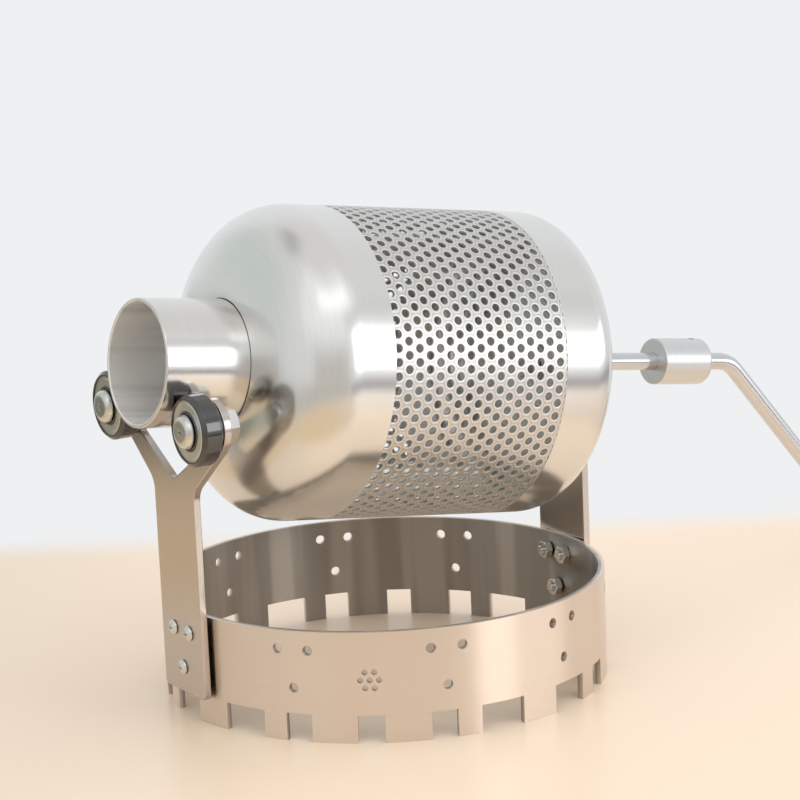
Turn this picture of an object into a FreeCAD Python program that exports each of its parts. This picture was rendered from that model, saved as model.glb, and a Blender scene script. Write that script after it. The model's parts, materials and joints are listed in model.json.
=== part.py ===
"""Stovetop coffee bean roaster: a hand cranked perforated drum that turns on a ring stand.

Millimetres. +Z is up, the origin is the centre of the stand ring at the height of its feet.
The drum's axis lies in the XZ plane and passes over the origin. Its mouth points to -X and is
a little higher than its crank end, which points to +X.
"""
import FreeCAD, Part
import math
import os
from FreeCAD import Vector

# Stand ring
ring_outer_diameter = 145.0
ring_wall = 2.0
ring_height = 35.0
notch_depth = 8.8
narrow_notch_width = 8.4
wide_notch_width = 15.2
first_quadrant_angle = -126.0
inner_notch_angle = 18.0
outer_notch_angle = 33.5
side_hole_group_angles = (37.0, 72.0, 107.0, 145.0)
rosette_ring_radius = 2.9
rosette_petal_diameter = 1.9
rosette_height = 20.0

# Screws that fix the uprights, and their holes in groups of three
small_screw_diameter = 3.0
small_hole_diameter = 3.2
small_head_diameter = 4.9
small_head_height = 1.7
small_cross_size = 2.4
small_cross_depth = 0.8
small_nut_flats = 5.5
small_nut_height = 2.4
pair_spacing = 10.0
pair_drop = 6.0
single_drop = 18.0

# Uprights
upright_thickness = 2.5
upright_width = 25.5
fork_gap_floor = 78.2
fork_lug_radius = 9.0
fork_arm_lean = 51.0
fork_gap_lean = 59.0
upright_corner_radius = 1.5
shoulder_radius = 7.0
fork_gap_radius = 4.0
fork_notch_radius = 1.5
lug_roundness = 0.995
rear_top_margin = 8.5
rear_prong_roundness = 0.87

# Drum
drum_diameter = 100.0
drum_wall = 1.0
sheet_wall = 0.8
drum_axis_height = 104.3
drum_tilt = 7.6
neck_diameter = 40.0
neck_wall = 1.2
neck_length = 28.7
neck_insert = 1.0
dome_length = 33.7
dome_knuckle_radius = 19.8
dome_skirt = 11.3
dome_crown_radius = 48.6
sheet_start = -23.3
sheet_length = 64.1
cap_length = 23.6
cap_corner_radius = 11.5
joint_clearance = 0.04

# Perforation
holes_around = 72
hole_diameter = 2.9
first_row_offset = 0.95

# Mixing vanes
vane_count = 3
vane_height = 12.0
vane_thickness = 1.0
vane_lean = 20.0
first_vane_angle = 30.0
vane_end_gap = 2.0
vane_seat_gap = 0.08

# Rollers: deep groove ball bearings that carry the neck
bearing_bore = 8.0
bearing_diameter = 22.0
bearing_width = 7.0
inner_ring_diameter = 12.2
outer_ring_bore = 18.8
ball_diameter = 3.97
ball_count = 7
groove_clearance = 0.03
race_chamfer = 1.1
inner_race_chamfer = 0.3
shield_thickness = 0.3
shield_recess = 0.25
shield_gap = 0.35
cage_ring_thickness = 1.5
cage_web = 0.5
cage_claw = 0.7
roller_spread_angle = 58.3
roller_clearance = 0.1
roller_washer_thickness = 1.0
roller_washer_diameter = 11.6
roller_screw_diameter = 6.0
roller_screw_clearance = 0.2
roller_head_diameter = 10.5
roller_head_height = 2.6
roller_cross_size = 2.3
roller_cross_depth = 1.0
roller_nut_flats = 10.0
roller_nut_height = 5.0
thread_tail = 1.2

# Shaft, coupling and crank
shaft_diameter = 6.0
rear_slot_clearance = 0.07
shaft_inner_tail = 2.4
shaft_nut_flats = 10.0
shaft_nut_height = 5.0
shaft_washer_diameter = 14.0
shaft_washer_thickness = 1.0
thrust_collar_diameter = 12.0
thrust_gap = 0.3
coupling_diameter = 16.0
coupling_length = 21.0
coupling_start = 114.4
coupling_round = 2.0
coupling_chamfer = 0.4
coupling_shaft_depth = 10.0
coupling_rod_gap = 0.6
set_screw_diameter = 3.0
set_screw_offset = 15.5
set_screw_recess = 0.4
set_screw_socket = 1.5
set_screw_socket_depth = 1.6
bore_clearance = 0.05
crank_first_bend = 148.0
crank_bend_radius = 12.0
crank_arm_angle = 42.0
crank_throw = 48.0

# Grip
grip_length = 64.0
grip_diameter = 22.0
grip_end_diameter = 17.0
grip_end_round = 1.5
grip_bore_clearance = 0.08
grip_start_gap = 14.0
grip_side_gap = 0.2
grip_washer_diameter = 12.0
grip_washer_thickness = 1.0
cap_nut_flats = 9.0
cap_nut_height = 5.0
cap_nut_dome = 3.0
cap_nut_dome_diameter = 8.4

# Shapes that the fasteners share
head_rim_share = 0.35
nut_bevel_share = 0.12
nut_bevel_angle = 30.0
cross_arm_share = 0.25

# Worked out from the sizes above
RING_R = ring_outer_diameter / 2
RING_IN = RING_R - ring_wall
DRUM_R = drum_diameter / 2
NECK_R = neck_diameter / 2
SHAFT_R = shaft_diameter / 2
ROOT_S = sheet_start - dome_length
MOUTH_S = ROOT_S - neck_length
SHEET_END = sheet_start + sheet_length
CAP_END = SHEET_END + cap_length
TILT = math.radians(drum_tilt)
PLATE_FRONT_X = -RING_R - upright_thickness
PLATE_REAR_X = RING_R
UPPER_HOLE_Z = ring_height - pair_drop
LOWER_HOLE_Z = ring_height - single_drop
X_AXIS = Vector(1, 0, 0)
Z_AXIS = Vector(0, 0, 1)
ORIGIN = Vector(0, 0, 0)


def drum_axis_z(x):
    """Height of the drum's axis above the feet at a place x along the stand."""
    return drum_axis_height - x * math.tan(TILT)


def tilt(shape):
    """Turns a shape drawn about the X axis to the drum's tilt and lifts it to the drum's height."""
    placed = shape.copy()
    placed.rotate(ORIGIN, Vector(0, 1, 0), drum_tilt)
    placed.translate(Vector(0, 0, drum_axis_height))
    return placed


def tube(x0, x1, outer, inner=0.0):
    """A tube or rod along X from x0 to x1."""
    body = Part.makeCylinder(outer, x1 - x0, Vector(x0, 0, 0), X_AXIS)
    if inner:
        body = body.cut(Part.makeCylinder(inner, x1 - x0, Vector(x0, 0, 0), X_AXIS))
    return body


def spun(edges):
    """The solid that a closed outline in the XZ plane, above the X axis, makes turning about X."""
    face = Part.Face(Part.Wire(edges))
    return face.revolve(ORIGIN, X_AXIS, 360)


def point(x, r):
    """A point of an outline that is spun about X."""
    return Vector(x, 0, r)


def polyline(points):
    """Straight edges from point to point and back to the first."""
    return [Part.makeLine(a, b) for a, b in zip(points, points[1:] + points[:1])]


def hexagon_nut(x0, height, flats, bore):
    """A hexagon nut along X, its far and near corners bevelled, with its bore."""
    corner = flats / math.sqrt(3)
    ring = [Vector(x0, corner * math.cos(math.radians(60 * k)), corner * math.sin(math.radians(60 * k)))
            for k in range(6)]
    prism = Part.Face(Part.Wire(polyline(ring))).extrude(Vector(height, 0, 0))
    cut = nut_bevel_share * flats
    rise = cut * math.tan(math.radians(nut_bevel_angle))
    bevelled = spun(polyline([point(x0, 0), point(x0, corner - cut), point(x0 + rise, corner),
                              point(x0 + height - rise, corner), point(x0 + height, corner - cut),
                              point(x0 + height, 0)]))
    return prism.common(bevelled).cut(tube(x0, x0 + height, bore))


def dome_head(x_face, radius, height, direction):
    """A low domed screw head whose flat face stands at x_face; it rises along direction (+1 or -1)."""
    rim = head_rim_share * height
    rise = height - rim
    ball = (radius ** 2 + rise ** 2) / (2 * rise)
    top = x_face + direction * height
    shoulder = x_face + direction * rim
    middle = radius / 2
    sag = ball - math.sqrt(ball ** 2 - middle ** 2)
    edges = [Part.makeLine(point(x_face, 0), point(x_face, radius)),
             Part.makeLine(point(x_face, radius), point(shoulder, radius)),
             Part.Arc(point(shoulder, radius), point(top - direction * sag, middle), point(top, 0)).toShape(),
             Part.makeLine(point(top, 0), point(x_face, 0))]
    return spun(edges)


def drive_cross(x_top, size, depth, direction):
    """The small cross recess in the middle of a screw head."""
    arm = size * cross_arm_share
    x0 = min(x_top, x_top - direction * depth)
    bar = Part.makeBox(depth, size, arm, Vector(x0, -size / 2, -arm / 2))
    post = Part.makeBox(depth, arm, size, Vector(x0, -arm / 2, -size / 2))
    return bar.fuse(post)


def shifted(shape, y, z):
    """A shape drawn about the X axis, moved to y and z."""
    moved = shape.copy()
    moved.translate(Vector(0, y, z))
    return moved


def notch_layout():
    """Angle and width of every notch in the ring's foot, the same in each quarter."""
    quarter = [(0.0, narrow_notch_width), (-inner_notch_angle, narrow_notch_width),
               (inner_notch_angle, narrow_notch_width), (-outer_notch_angle, wide_notch_width),
               (outer_notch_angle, wide_notch_width)]
    return [(first_quadrant_angle + 90 * q + a, w) for q in range(4) for a, w in quarter]


def screw_places():
    """Y and Z of the three screws that hold an upright."""
    return [(pair_spacing / 2, UPPER_HOLE_Z), (-pair_spacing / 2, UPPER_HOLE_Z), (0.0, LOWER_HOLE_Z)]


def hole_group_angles():
    """Angles of the ring's hole groups: one behind each upright and the rest in mirrored pairs."""
    return [0.0, 180.0] + [side * angle for side in (-1, 1) for angle in side_hole_group_angles]


def radial_hole(angle, y, z, radius):
    """A cylinder that passes through the ring's wall, parallel to the radius at an angle."""
    length = 5 * ring_wall
    start = Vector(RING_R - ring_wall / 2 - length / 2, y, z)
    hole = Part.makeCylinder(radius, length, start, X_AXIS)
    hole.rotate(ORIGIN, Z_AXIS, angle)
    return hole


def stand_ring():
    """The ring that stands on the hob: notches for the grate's arms, hole groups and a rosette."""
    wall = Part.makeCylinder(RING_R, ring_height).cut(Part.makeCylinder(RING_IN, ring_height))
    cuts = []
    for angle, width in notch_layout():
        notch = Part.makeBox(4 * ring_wall, width, notch_depth,
                             Vector(RING_IN - 1.5 * ring_wall, -width / 2, 0))
        notch.rotate(ORIGIN, Z_AXIS, angle)
        cuts.append(notch)
    for angle in hole_group_angles():
        cuts += [radial_hole(angle, y, z, small_hole_diameter / 2) for y, z in screw_places()]
    petals = [(0.0, 0.0)] + [(rosette_ring_radius * math.cos(math.radians(60 * k)),
                              rosette_ring_radius * math.sin(math.radians(60 * k))) for k in range(6)]
    cuts += [radial_hole(first_quadrant_angle, y, rosette_height + z, rosette_petal_diameter / 2)
             for y, z in petals]
    return wall.cut(cuts)


def rounded_outline(corners, x):
    """A closed wire in the plane at x through corners (y, z, radius), each rounded by its radius."""
    edges = []
    last = None
    first = None
    count = len(corners)
    for k in range(count):
        before = Vector(x, *corners[k - 1][:2])
        here = Vector(x, *corners[k][:2])
        after = Vector(x, *corners[(k + 1) % count][:2])
        to_before = (before - here).normalize()
        to_after = (after - here).normalize()
        half = to_before.getAngle(to_after) / 2
        radius = corners[k][2]
        run = radius / math.tan(half)
        start = here + to_before * run
        end = here + to_after * run
        bisector = (to_before + to_after).normalize()
        middle = here + bisector * (radius / math.sin(half) - radius)
        if last is not None and (start - last).Length > 1e-6:
            edges.append(Part.makeLine(last, start))
        edges.append(Part.Arc(start, middle, end).toShape())
        first = first or start
        last = end
    if (first - last).Length > 1e-6:
        edges.append(Part.makeLine(last, first))
    return Part.Wire(edges)


def roller_centre():
    """Y and Z of a roller's centre, so that its tread just clears the tilted neck."""
    inner_end = PLATE_FRONT_X - roller_washer_thickness
    reach = NECK_R / math.cos(TILT) + bearing_diameter / 2 + roller_clearance
    angle = math.radians(roller_spread_angle)
    return reach * math.sin(angle), drum_axis_z(inner_end) - reach * math.cos(angle)


def line_meeting(a, da, b, db):
    """Where the line through a along da meets the line through b along db, in the YZ plane."""
    cross = da[0] * db[1] - da[1] * db[0]
    t = ((b[0] - a[0]) * db[1] - (b[1] - a[1]) * db[0]) / cross
    return a[0] + t * da[0], a[1] + t * da[1]


def fork_half():
    """Corners (y, z, radius) of the fork's +Y half, from the shoulder round the lug to the gap."""
    yc, zc = roller_centre()
    lean = math.radians(fork_arm_lean)
    along = (math.sin(lean), math.cos(lean))
    across = (-math.cos(lean), math.sin(lean))
    r = fork_lug_radius
    outer = (yc - r * across[0], zc - r * across[1])
    side = (0.0, 1.0)
    shoulder = line_meeting(outer, along, (upright_width / 2, 0.0), side)
    tip = (outer[0] + r * along[0], outer[1] + r * along[1])
    top = (tip[0] + 2 * r * across[0], tip[1] + 2 * r * across[1])
    back = (top[0] - 2 * r * along[0], top[1] - 2 * r * along[1])
    gap_lean = math.radians(fork_gap_lean)
    gap_along = (math.sin(gap_lean), math.cos(gap_lean))
    gap_corner = (0.0, fork_gap_floor - fork_gap_radius * (1 / math.sin(gap_lean) - 1))
    notch = line_meeting(gap_corner, gap_along, back, (-across[0], -across[1]))
    lug = lug_roundness * r
    half = [(*shoulder, shoulder_radius), (*tip, lug), (*top, lug), (*back, lug),
            (*notch, fork_notch_radius)]
    return half, gap_corner


def upright_holes(x0):
    """The three screw holes of an upright."""
    return [shifted(tube(x0, x0 + upright_thickness, small_hole_diameter / 2), y, z)
            for y, z in screw_places()]


def front_upright():
    """The forked plate that carries the two rollers under the neck."""
    half, gap = fork_half()
    corners = [(-upright_width / 2, notch_depth, upright_corner_radius),
               (upright_width / 2, notch_depth, upright_corner_radius)]
    corners += half + [(*gap, fork_gap_radius)]
    corners += [(-y, z, r) for y, z, r in reversed(half)]
    plate = Part.Face(rounded_outline(corners, PLATE_FRONT_X)).extrude(Vector(upright_thickness, 0, 0))
    yc, zc = roller_centre()
    bore = roller_screw_diameter / 2 + roller_screw_clearance
    holes = [shifted(tube(PLATE_FRONT_X, PLATE_FRONT_X + upright_thickness, bore), side * yc, zc)
             for side in (-1, 1)]
    return plate.cut(holes + upright_holes(PLATE_FRONT_X))


def rear_slot():
    """Half width of the rear upright's slot and the height of its round floor's centre."""
    drop = upright_thickness * math.tan(TILT) / 2
    radius = SHAFT_R / math.cos(TILT) + drop + rear_slot_clearance
    return radius, drum_axis_z(PLATE_REAR_X + upright_thickness / 2)


def rear_upright():
    """The plate whose open slot carries the crank shaft, so the drum lifts out."""
    radius, centre = rear_slot()
    top = centre + rear_top_margin
    half = upright_width / 2
    prong = rear_prong_roundness * (half - radius) / 2
    floor = lug_roundness * radius
    corners = [(-half, notch_depth, upright_corner_radius), (half, notch_depth, upright_corner_radius),
               (half, top, prong), (radius, top, prong), (radius, centre - radius, floor),
               (-radius, centre - radius, floor), (-radius, top, prong), (-half, top, prong)]
    plate = Part.Face(rounded_outline(corners, PLATE_REAR_X)).extrude(Vector(upright_thickness, 0, 0))
    return plate.cut(upright_holes(PLATE_REAR_X))


def upright_screws(front):
    """Three domed screws through an upright and the ring."""
    face = PLATE_FRONT_X if front else PLATE_REAR_X + upright_thickness
    out = -1 if front else 1
    grip = upright_thickness + ring_wall + small_nut_height + thread_tail + chord_sag()
    tip = face - out * grip
    screw = dome_head(face, small_head_diameter / 2, small_head_height, out)
    screw = screw.fuse(tube(min(face, tip), max(face, tip), small_screw_diameter / 2))
    top = face + out * small_head_height
    screw = screw.cut(drive_cross(top, small_cross_size, small_cross_depth, out))
    return Part.Compound([shifted(screw, y, z) for y, z in screw_places()])


def chord_sag():
    """How far the ring's inner wall stands behind a nut's flat face at the nut's corners."""
    reach = pair_spacing / 2 + small_nut_flats / math.sqrt(3)
    return RING_IN - math.sqrt(RING_IN ** 2 - reach ** 2)


def upright_nuts(front):
    """Three nuts inside the ring, one on each screw."""
    inner = RING_IN - chord_sag()
    x0 = -inner if front else inner - small_nut_height
    nut = hexagon_nut(x0, small_nut_height, small_nut_flats, small_screw_diameter / 2)
    return Part.Compound([shifted(nut, y, z) for y, z in screw_places()])


def roller_span():
    """Near and far X of a roller's bearing, seen from the mouth."""
    far = PLATE_FRONT_X - roller_washer_thickness
    return far - bearing_width, far


def ball_circle():
    """Radius of the circle on which the ball centres lie."""
    return (inner_ring_diameter + outer_ring_bore) / 4


def groove(x_middle):
    """The ring in which the balls run, cut from both races."""
    section = ball_diameter / 2 + groove_clearance
    return Part.makeTorus(ball_circle(), section, Vector(x_middle, 0, 0), X_AXIS)


def outer_race(x0, x1):
    """The black outer race whose tread carries the neck."""
    r = bearing_diameter / 2
    c = race_chamfer
    hub = outer_ring_bore / 2
    body = spun(polyline([point(x0, hub), point(x0, r - c), point(x0 + c, r), point(x1 - c, r),
                          point(x1, r - c), point(x1, hub)]))
    return body.cut(groove((x0 + x1) / 2))


def inner_race(x0, x1):
    """The race that is clamped on the screw's bush."""
    r = inner_ring_diameter / 2
    c = inner_race_chamfer
    bore = bearing_bore / 2
    body = spun(polyline([point(x0, bore + c), point(x0, r - c), point(x0 + c, r), point(x1 - c, r),
                          point(x1, r - c), point(x1, bore + c), point(x1 - c, bore), point(x0 + c, bore)]))
    return body.cut(groove((x0 + x1) / 2))


def bearing_balls(x0, x1):
    """The balls, evenly round their circle."""
    middle = (x0 + x1) / 2
    balls = []
    for k in range(ball_count):
        angle = 2 * math.pi * k / ball_count
        centre = Vector(middle, ball_circle() * math.cos(angle), ball_circle() * math.sin(angle))
        balls.append(Part.makeSphere(ball_diameter / 2, centre))
    return Part.Compound(balls)


def ball_cage(x0, x1):
    """The crown cage that spaces the balls, with a whole ring on the far side."""
    middle = (x0 + x1) / 2
    pocket = ball_diameter / 2 + groove_clearance
    mean = ball_circle()
    half = cage_ring_thickness / 2
    body = tube(middle - cage_claw, middle + pocket + cage_web, mean + half, mean - half)
    pockets = []
    for k in range(ball_count):
        angle = 2 * math.pi * k / ball_count
        centre = Vector(middle, mean * math.cos(angle), mean * math.sin(angle))
        pockets.append(Part.makeSphere(pocket, centre))
    return body.cut(pockets)


def bearing_shields(x0, x1):
    """The two sheet shields that close the bearing."""
    outer = outer_ring_bore / 2 - joint_clearance
    inner = inner_ring_diameter / 2 + shield_gap
    near = tube(x0 + shield_recess, x0 + shield_recess + shield_thickness, outer, inner)
    far = tube(x1 - shield_recess - shield_thickness, x1 - shield_recess, outer, inner)
    return Part.Compound([near, far])


def roller_bush(x0, x1):
    """The sleeve between the screw and the bearing's larger bore."""
    return tube(x0 + inner_race_chamfer, x1 - inner_race_chamfer, bearing_bore / 2 - joint_clearance,
                roller_screw_diameter / 2 + joint_clearance)


def roller_washer(x0, x1):
    """The washer that keeps the outer race clear of the fork."""
    return tube(x1, x1 + roller_washer_thickness, roller_washer_diameter / 2,
                roller_screw_diameter / 2 + roller_screw_clearance)


def roller_screw(x0, x1):
    """The low headed screw that is the roller's axle."""
    end = PLATE_FRONT_X + upright_thickness + roller_nut_height + thread_tail
    screw = dome_head(x0, roller_head_diameter / 2, roller_head_height, -1)
    screw = screw.fuse(tube(x0, end, roller_screw_diameter / 2))
    cross = drive_cross(x0 - roller_head_height, roller_cross_size, roller_cross_depth, -1)
    return screw.cut(cross)


def roller_nut(x0, x1):
    """The nut behind the fork."""
    return hexagon_nut(PLATE_FRONT_X + upright_thickness, roller_nut_height, roller_nut_flats,
                       roller_screw_diameter / 2)


def roller_nodes(side):
    """Every piece of one roller, by name; side is +1 on the left and -1 on the right."""
    x0, x1 = roller_span()
    yc, zc = roller_centre()
    name = "left" if side > 0 else "right"
    makers = {"outer_race": outer_race, "inner_race": inner_race, "bearing_balls": bearing_balls,
              "ball_cage": ball_cage, "bearing_shields": bearing_shields, "roller_bush": roller_bush,
              "roller_washer": roller_washer, "roller_screw": roller_screw, "roller_nut": roller_nut}
    return {name + "_" + node: shifted(make(x0, x1), side * yc, zc) for node, make in makers.items()}


def neck_tube():
    """The neck through which the beans go in and out."""
    lip = neck_wall / 3
    outer = NECK_R
    inner = NECK_R - neck_wall
    end = ROOT_S + neck_insert
    return spun(polyline([point(MOUTH_S, inner + lip / 2), point(MOUTH_S, outer - lip),
                          point(MOUTH_S + lip, outer), point(end, outer), point(end, inner),
                          point(MOUTH_S + lip / 2, inner)]))


def dome_arcs(offset):
    """Edges of the dome's skin, moved inwards by an offset, from its skirt to its neck hole."""
    knuckle_x = sheet_start - dome_skirt
    knuckle_r = dome_knuckle_radius - offset
    crown_r = dome_crown_radius - offset
    hub = (knuckle_x, DRUM_R - dome_knuckle_radius)
    root = (ROOT_S, NECK_R)
    reach = dome_crown_radius - dome_knuckle_radius
    span = math.hypot(root[0] - hub[0], root[1] - hub[1])
    along = (reach ** 2 - dome_crown_radius ** 2 + span ** 2) / (2 * span)
    aside = math.sqrt(reach ** 2 - along ** 2)
    unit = ((root[0] - hub[0]) / span, (root[1] - hub[1]) / span)
    crown = (hub[0] + along * unit[0] + aside * -unit[1], hub[1] + along * unit[1] + aside * unit[0])
    if crown[0] < hub[0]:
        crown = (hub[0] + along * unit[0] + aside * unit[1], hub[1] + along * unit[1] - aside * unit[0])
    blend = math.atan2(hub[1] - crown[1], crown[0] - hub[0])
    hole_r = NECK_R + joint_clearance
    root_angle = math.asin((hole_r - crown[1]) / crown_r)

    def knuckle(angle):
        return point(hub[0] - knuckle_r * math.cos(angle), hub[1] + knuckle_r * math.sin(angle))

    def crown_point(angle):
        return point(crown[0] - crown_r * math.cos(angle), crown[1] + crown_r * math.sin(angle))

    skirt = Part.makeLine(point(sheet_start, DRUM_R - offset), point(knuckle_x, DRUM_R - offset))
    turn = Part.Arc(knuckle(math.pi / 2), knuckle((math.pi / 2 + blend) / 2), knuckle(blend)).toShape()
    face = Part.Arc(crown_point(blend), crown_point((blend + root_angle) / 2),
                    crown_point(root_angle)).toShape()
    return [skirt, turn, face]


def front_dome():
    """The spun dome between the neck and the perforated sheet."""
    outer = dome_arcs(0.0)
    inner = dome_arcs(drum_wall)
    outer_root = outer[2].Vertexes[-1].Point
    inner_root = inner[2].Vertexes[-1].Point
    edges = outer + [Part.makeLine(outer_root, inner_root)] + inner
    edges.append(Part.makeLine(point(sheet_start, DRUM_R - drum_wall), point(sheet_start, DRUM_R)))
    return spun(Part.__sortEdges__(edges))


def perforation_rows():
    """Places along the axis of the rows of holes. The end rows are cut through by the sheet's edges."""
    pitch = math.pi * drum_diameter / holes_around
    step = pitch * math.sqrt(3) / 2
    rows = int((sheet_length - first_row_offset + hole_diameter / 2) / step) + 1
    return [sheet_start + first_row_offset + k * step for k in range(rows)]


def perforated_sheet():
    """The rolled sheet with staggered round holes."""
    shell = tube(sheet_start, SHEET_END, DRUM_R, DRUM_R - sheet_wall)
    punches = []
    for row, x in enumerate(perforation_rows()):
        for k in range(holes_around):
            angle = 2 * math.pi * (k + 0.5 * ((row + 1) % 2)) / holes_around
            out = Vector(0, math.cos(angle), math.sin(angle))
            base = Vector(x, 0, 0) + out * (DRUM_R - 2 * sheet_wall)
            punches.append(Part.makeCylinder(hole_diameter / 2, 3 * sheet_wall, base, out))
    return shell.cut(punches)


def rear_cap():
    """The pressed cap that closes the drum and carries the shaft."""
    r = DRUM_R
    c = cap_corner_radius
    w = drum_wall
    hole = SHAFT_R + joint_clearance

    def corner(radius, angle):
        return point(CAP_END - c + radius * math.sin(angle), r - c + radius * math.cos(angle))

    outer_arc = Part.Arc(corner(c, 0), corner(c, math.pi / 4), corner(c, math.pi / 2)).toShape()
    inner_arc = Part.Arc(corner(c - w, 0), corner(c - w, math.pi / 4), corner(c - w, math.pi / 2)).toShape()
    edges = [Part.makeLine(point(SHEET_END, r - w), point(SHEET_END, r)),
             Part.makeLine(point(SHEET_END, r), corner(c, 0)), outer_arc,
             Part.makeLine(corner(c, math.pi / 2), point(CAP_END, hole)),
             Part.makeLine(point(CAP_END, hole), point(CAP_END - w, hole)),
             Part.makeLine(point(CAP_END - w, hole), corner(c - w, math.pi / 2)), inner_arc,
             Part.makeLine(corner(c - w, 0), point(SHEET_END, r - w))]
    return spun(edges)


def mixing_vanes():
    """Leaning strips inside the sheet, their outer edges rounded to its inside."""
    seat = DRUM_R - sheet_wall - vane_seat_gap
    low = seat - vane_height
    strip = Part.makeBox(sheet_length - 2 * vane_end_gap, vane_thickness, vane_height + vane_thickness,
                         Vector(sheet_start + vane_end_gap, -vane_thickness / 2, low))
    hinge = Vector(0, 0, seat)
    inside = Part.makeCylinder(seat, sheet_length, Vector(sheet_start, 0, 0), X_AXIS)
    vanes = []
    for k in range(vane_count):
        vane = strip.copy()
        vane.rotate(hinge, X_AXIS, vane_lean)
        vane.rotate(ORIGIN, X_AXIS, 360.0 * k / vane_count + first_vane_angle)
        vanes.append(vane.common(inside).Solids[0])
    return Part.Compound(vanes)


def thrust_end():
    """Far end of the thrust collar, a gap short of the rear upright's inner face."""
    lean = thrust_collar_diameter / 2 * math.sin(TILT)
    return (PLATE_REAR_X - thrust_gap - lean) / math.cos(TILT)


def shaft_nodes():
    """The shaft through the cap, with what clamps it there and what stops it at the upright."""
    inner_washer_end = CAP_END - drum_wall
    inner_nut_end = inner_washer_end - shaft_washer_thickness
    shaft_start = inner_nut_end - shaft_nut_height - shaft_inner_tail
    outer_nut_start = CAP_END + shaft_washer_thickness
    outer_nut_end = outer_nut_start + shaft_nut_height
    bore = SHAFT_R + bore_clearance
    washer = shaft_washer_diameter / 2
    return {
        "drum_shaft": tube(shaft_start, coupling_start + coupling_shaft_depth, SHAFT_R),
        "shaft_inner_nut": hexagon_nut(inner_nut_end - shaft_nut_height, shaft_nut_height,
                                       shaft_nut_flats, bore),
        "shaft_outer_nut": hexagon_nut(outer_nut_start, shaft_nut_height, shaft_nut_flats, bore),
        "shaft_washers": Part.Compound([tube(inner_nut_end, inner_washer_end, washer, bore),
                                        tube(CAP_END, outer_nut_start, washer, bore)]),
        "thrust_collar": tube(outer_nut_end, thrust_end(), thrust_collar_diameter / 2, bore),
    }


def coupling_collar():
    """The round coupling that joins the crank rod to the shaft."""
    r = coupling_diameter / 2
    x0 = coupling_start
    x1 = coupling_start + coupling_length
    c = coupling_chamfer
    q = coupling_round
    bore = SHAFT_R + bore_clearance
    slant = q * math.sin(math.pi / 4)
    edges = [Part.makeLine(point(x0, bore), point(x0, r - c)),
             Part.makeLine(point(x0, r - c), point(x0 + c, r)),
             Part.makeLine(point(x0 + c, r), point(x1 - q, r)),
             Part.Arc(point(x1 - q, r), point(x1 - q + slant, r - q + slant), point(x1, r - q)).toShape(),
             Part.makeLine(point(x1, r - q), point(x1, bore)),
             Part.makeLine(point(x1, bore), point(x0, bore))]
    body = spun(edges)
    hole = Part.makeCylinder(set_screw_diameter / 2, coupling_diameter,
                             Vector(x0 + set_screw_offset, 0, -r), Z_AXIS)
    return body.cut(hole)


def set_screws():
    """Two headless screws that grip the crank rod from above and below."""
    x = coupling_start + set_screw_offset
    r = set_screw_diameter / 2 - joint_clearance
    inner = SHAFT_R + bore_clearance
    length = coupling_diameter / 2 - set_screw_recess - inner
    base = Vector(x, 0, inner + length - set_screw_socket_depth)
    socket = Part.makeCylinder(set_screw_socket / 2, set_screw_socket_depth, base, Z_AXIS)
    upper = Part.makeCylinder(r, length, Vector(x, 0, inner), Z_AXIS).cut(socket)
    lower = upper.copy()
    lower.rotate(ORIGIN, X_AXIS, 180)
    return Part.Compound([upper, lower])


def crank_corners():
    """The two corners of the crank rod's route, and where the rod starts and ends."""
    angle = math.radians(crank_arm_angle)
    first = Vector(crank_first_bend, 0, 0)
    second = first + Vector(crank_throw / math.tan(angle), 0, -crank_throw)
    start = Vector(coupling_start + coupling_shaft_depth + coupling_rod_gap, 0, 0)
    end = second + Vector(grip_start_gap + grip_length + 2 * grip_side_gap + 2 * grip_washer_thickness
                          + cap_nut_height, 0, 0)
    return start, first, second, end


def bend(before, corner, after, radius):
    """Start, middle and end of the arc that rounds a corner of the rod's route."""
    to_before = (before - corner).normalize()
    to_after = (after - corner).normalize()
    half = to_before.getAngle(to_after) / 2
    run = radius / math.tan(half)
    bisector = (to_before + to_after).normalize()
    return (corner + to_before * run, corner + bisector * (radius / math.sin(half) - radius),
            corner + to_after * run)


def crank_rod():
    """The round rod that is bent twice, from the coupling to the end of the grip."""
    start, first, second, end = crank_corners()
    a = bend(start, first, second, crank_bend_radius)
    b = bend(first, second, end, crank_bend_radius)
    path = Part.Wire([Part.makeLine(start, a[0]), Part.Arc(*a).toShape(), Part.makeLine(a[2], b[0]),
                      Part.Arc(*b).toShape(), Part.makeLine(b[2], end)])
    section = Part.Wire(Part.makeCircle(SHAFT_R, start, X_AXIS))
    return path.makePipeShell([section], True, False)


def grip_profile():
    """X of the grip's near end, and the height of its axis from the drum's axis."""
    second = crank_corners()[2]
    near = second.x + grip_start_gap + grip_washer_thickness + grip_side_gap
    return near, second.z


def wooden_grip():
    """The turned wooden grip that spins on the rod."""
    near, depth = grip_profile()
    far = near + grip_length
    bore = SHAFT_R + grip_bore_clearance
    end = grip_end_diameter / 2
    round_r = grip_end_round
    slant = round_r * (1 - math.sin(math.pi / 4))
    edges = [Part.makeLine(point(near, bore), point(near, end - round_r)),
             Part.Arc(point(near, end - round_r), point(near + slant, end - slant),
                      point(near + round_r, end)).toShape(),
             Part.Arc(point(near + round_r, end), point((near + far) / 2, grip_diameter / 2),
                      point(far - round_r, end)).toShape(),
             Part.Arc(point(far - round_r, end), point(far - slant, end - slant),
                      point(far, end - round_r)).toShape(),
             Part.makeLine(point(far, end - round_r), point(far, bore)),
             Part.makeLine(point(far, bore), point(near, bore))]
    return shifted(spun(edges), 0, depth)


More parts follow.
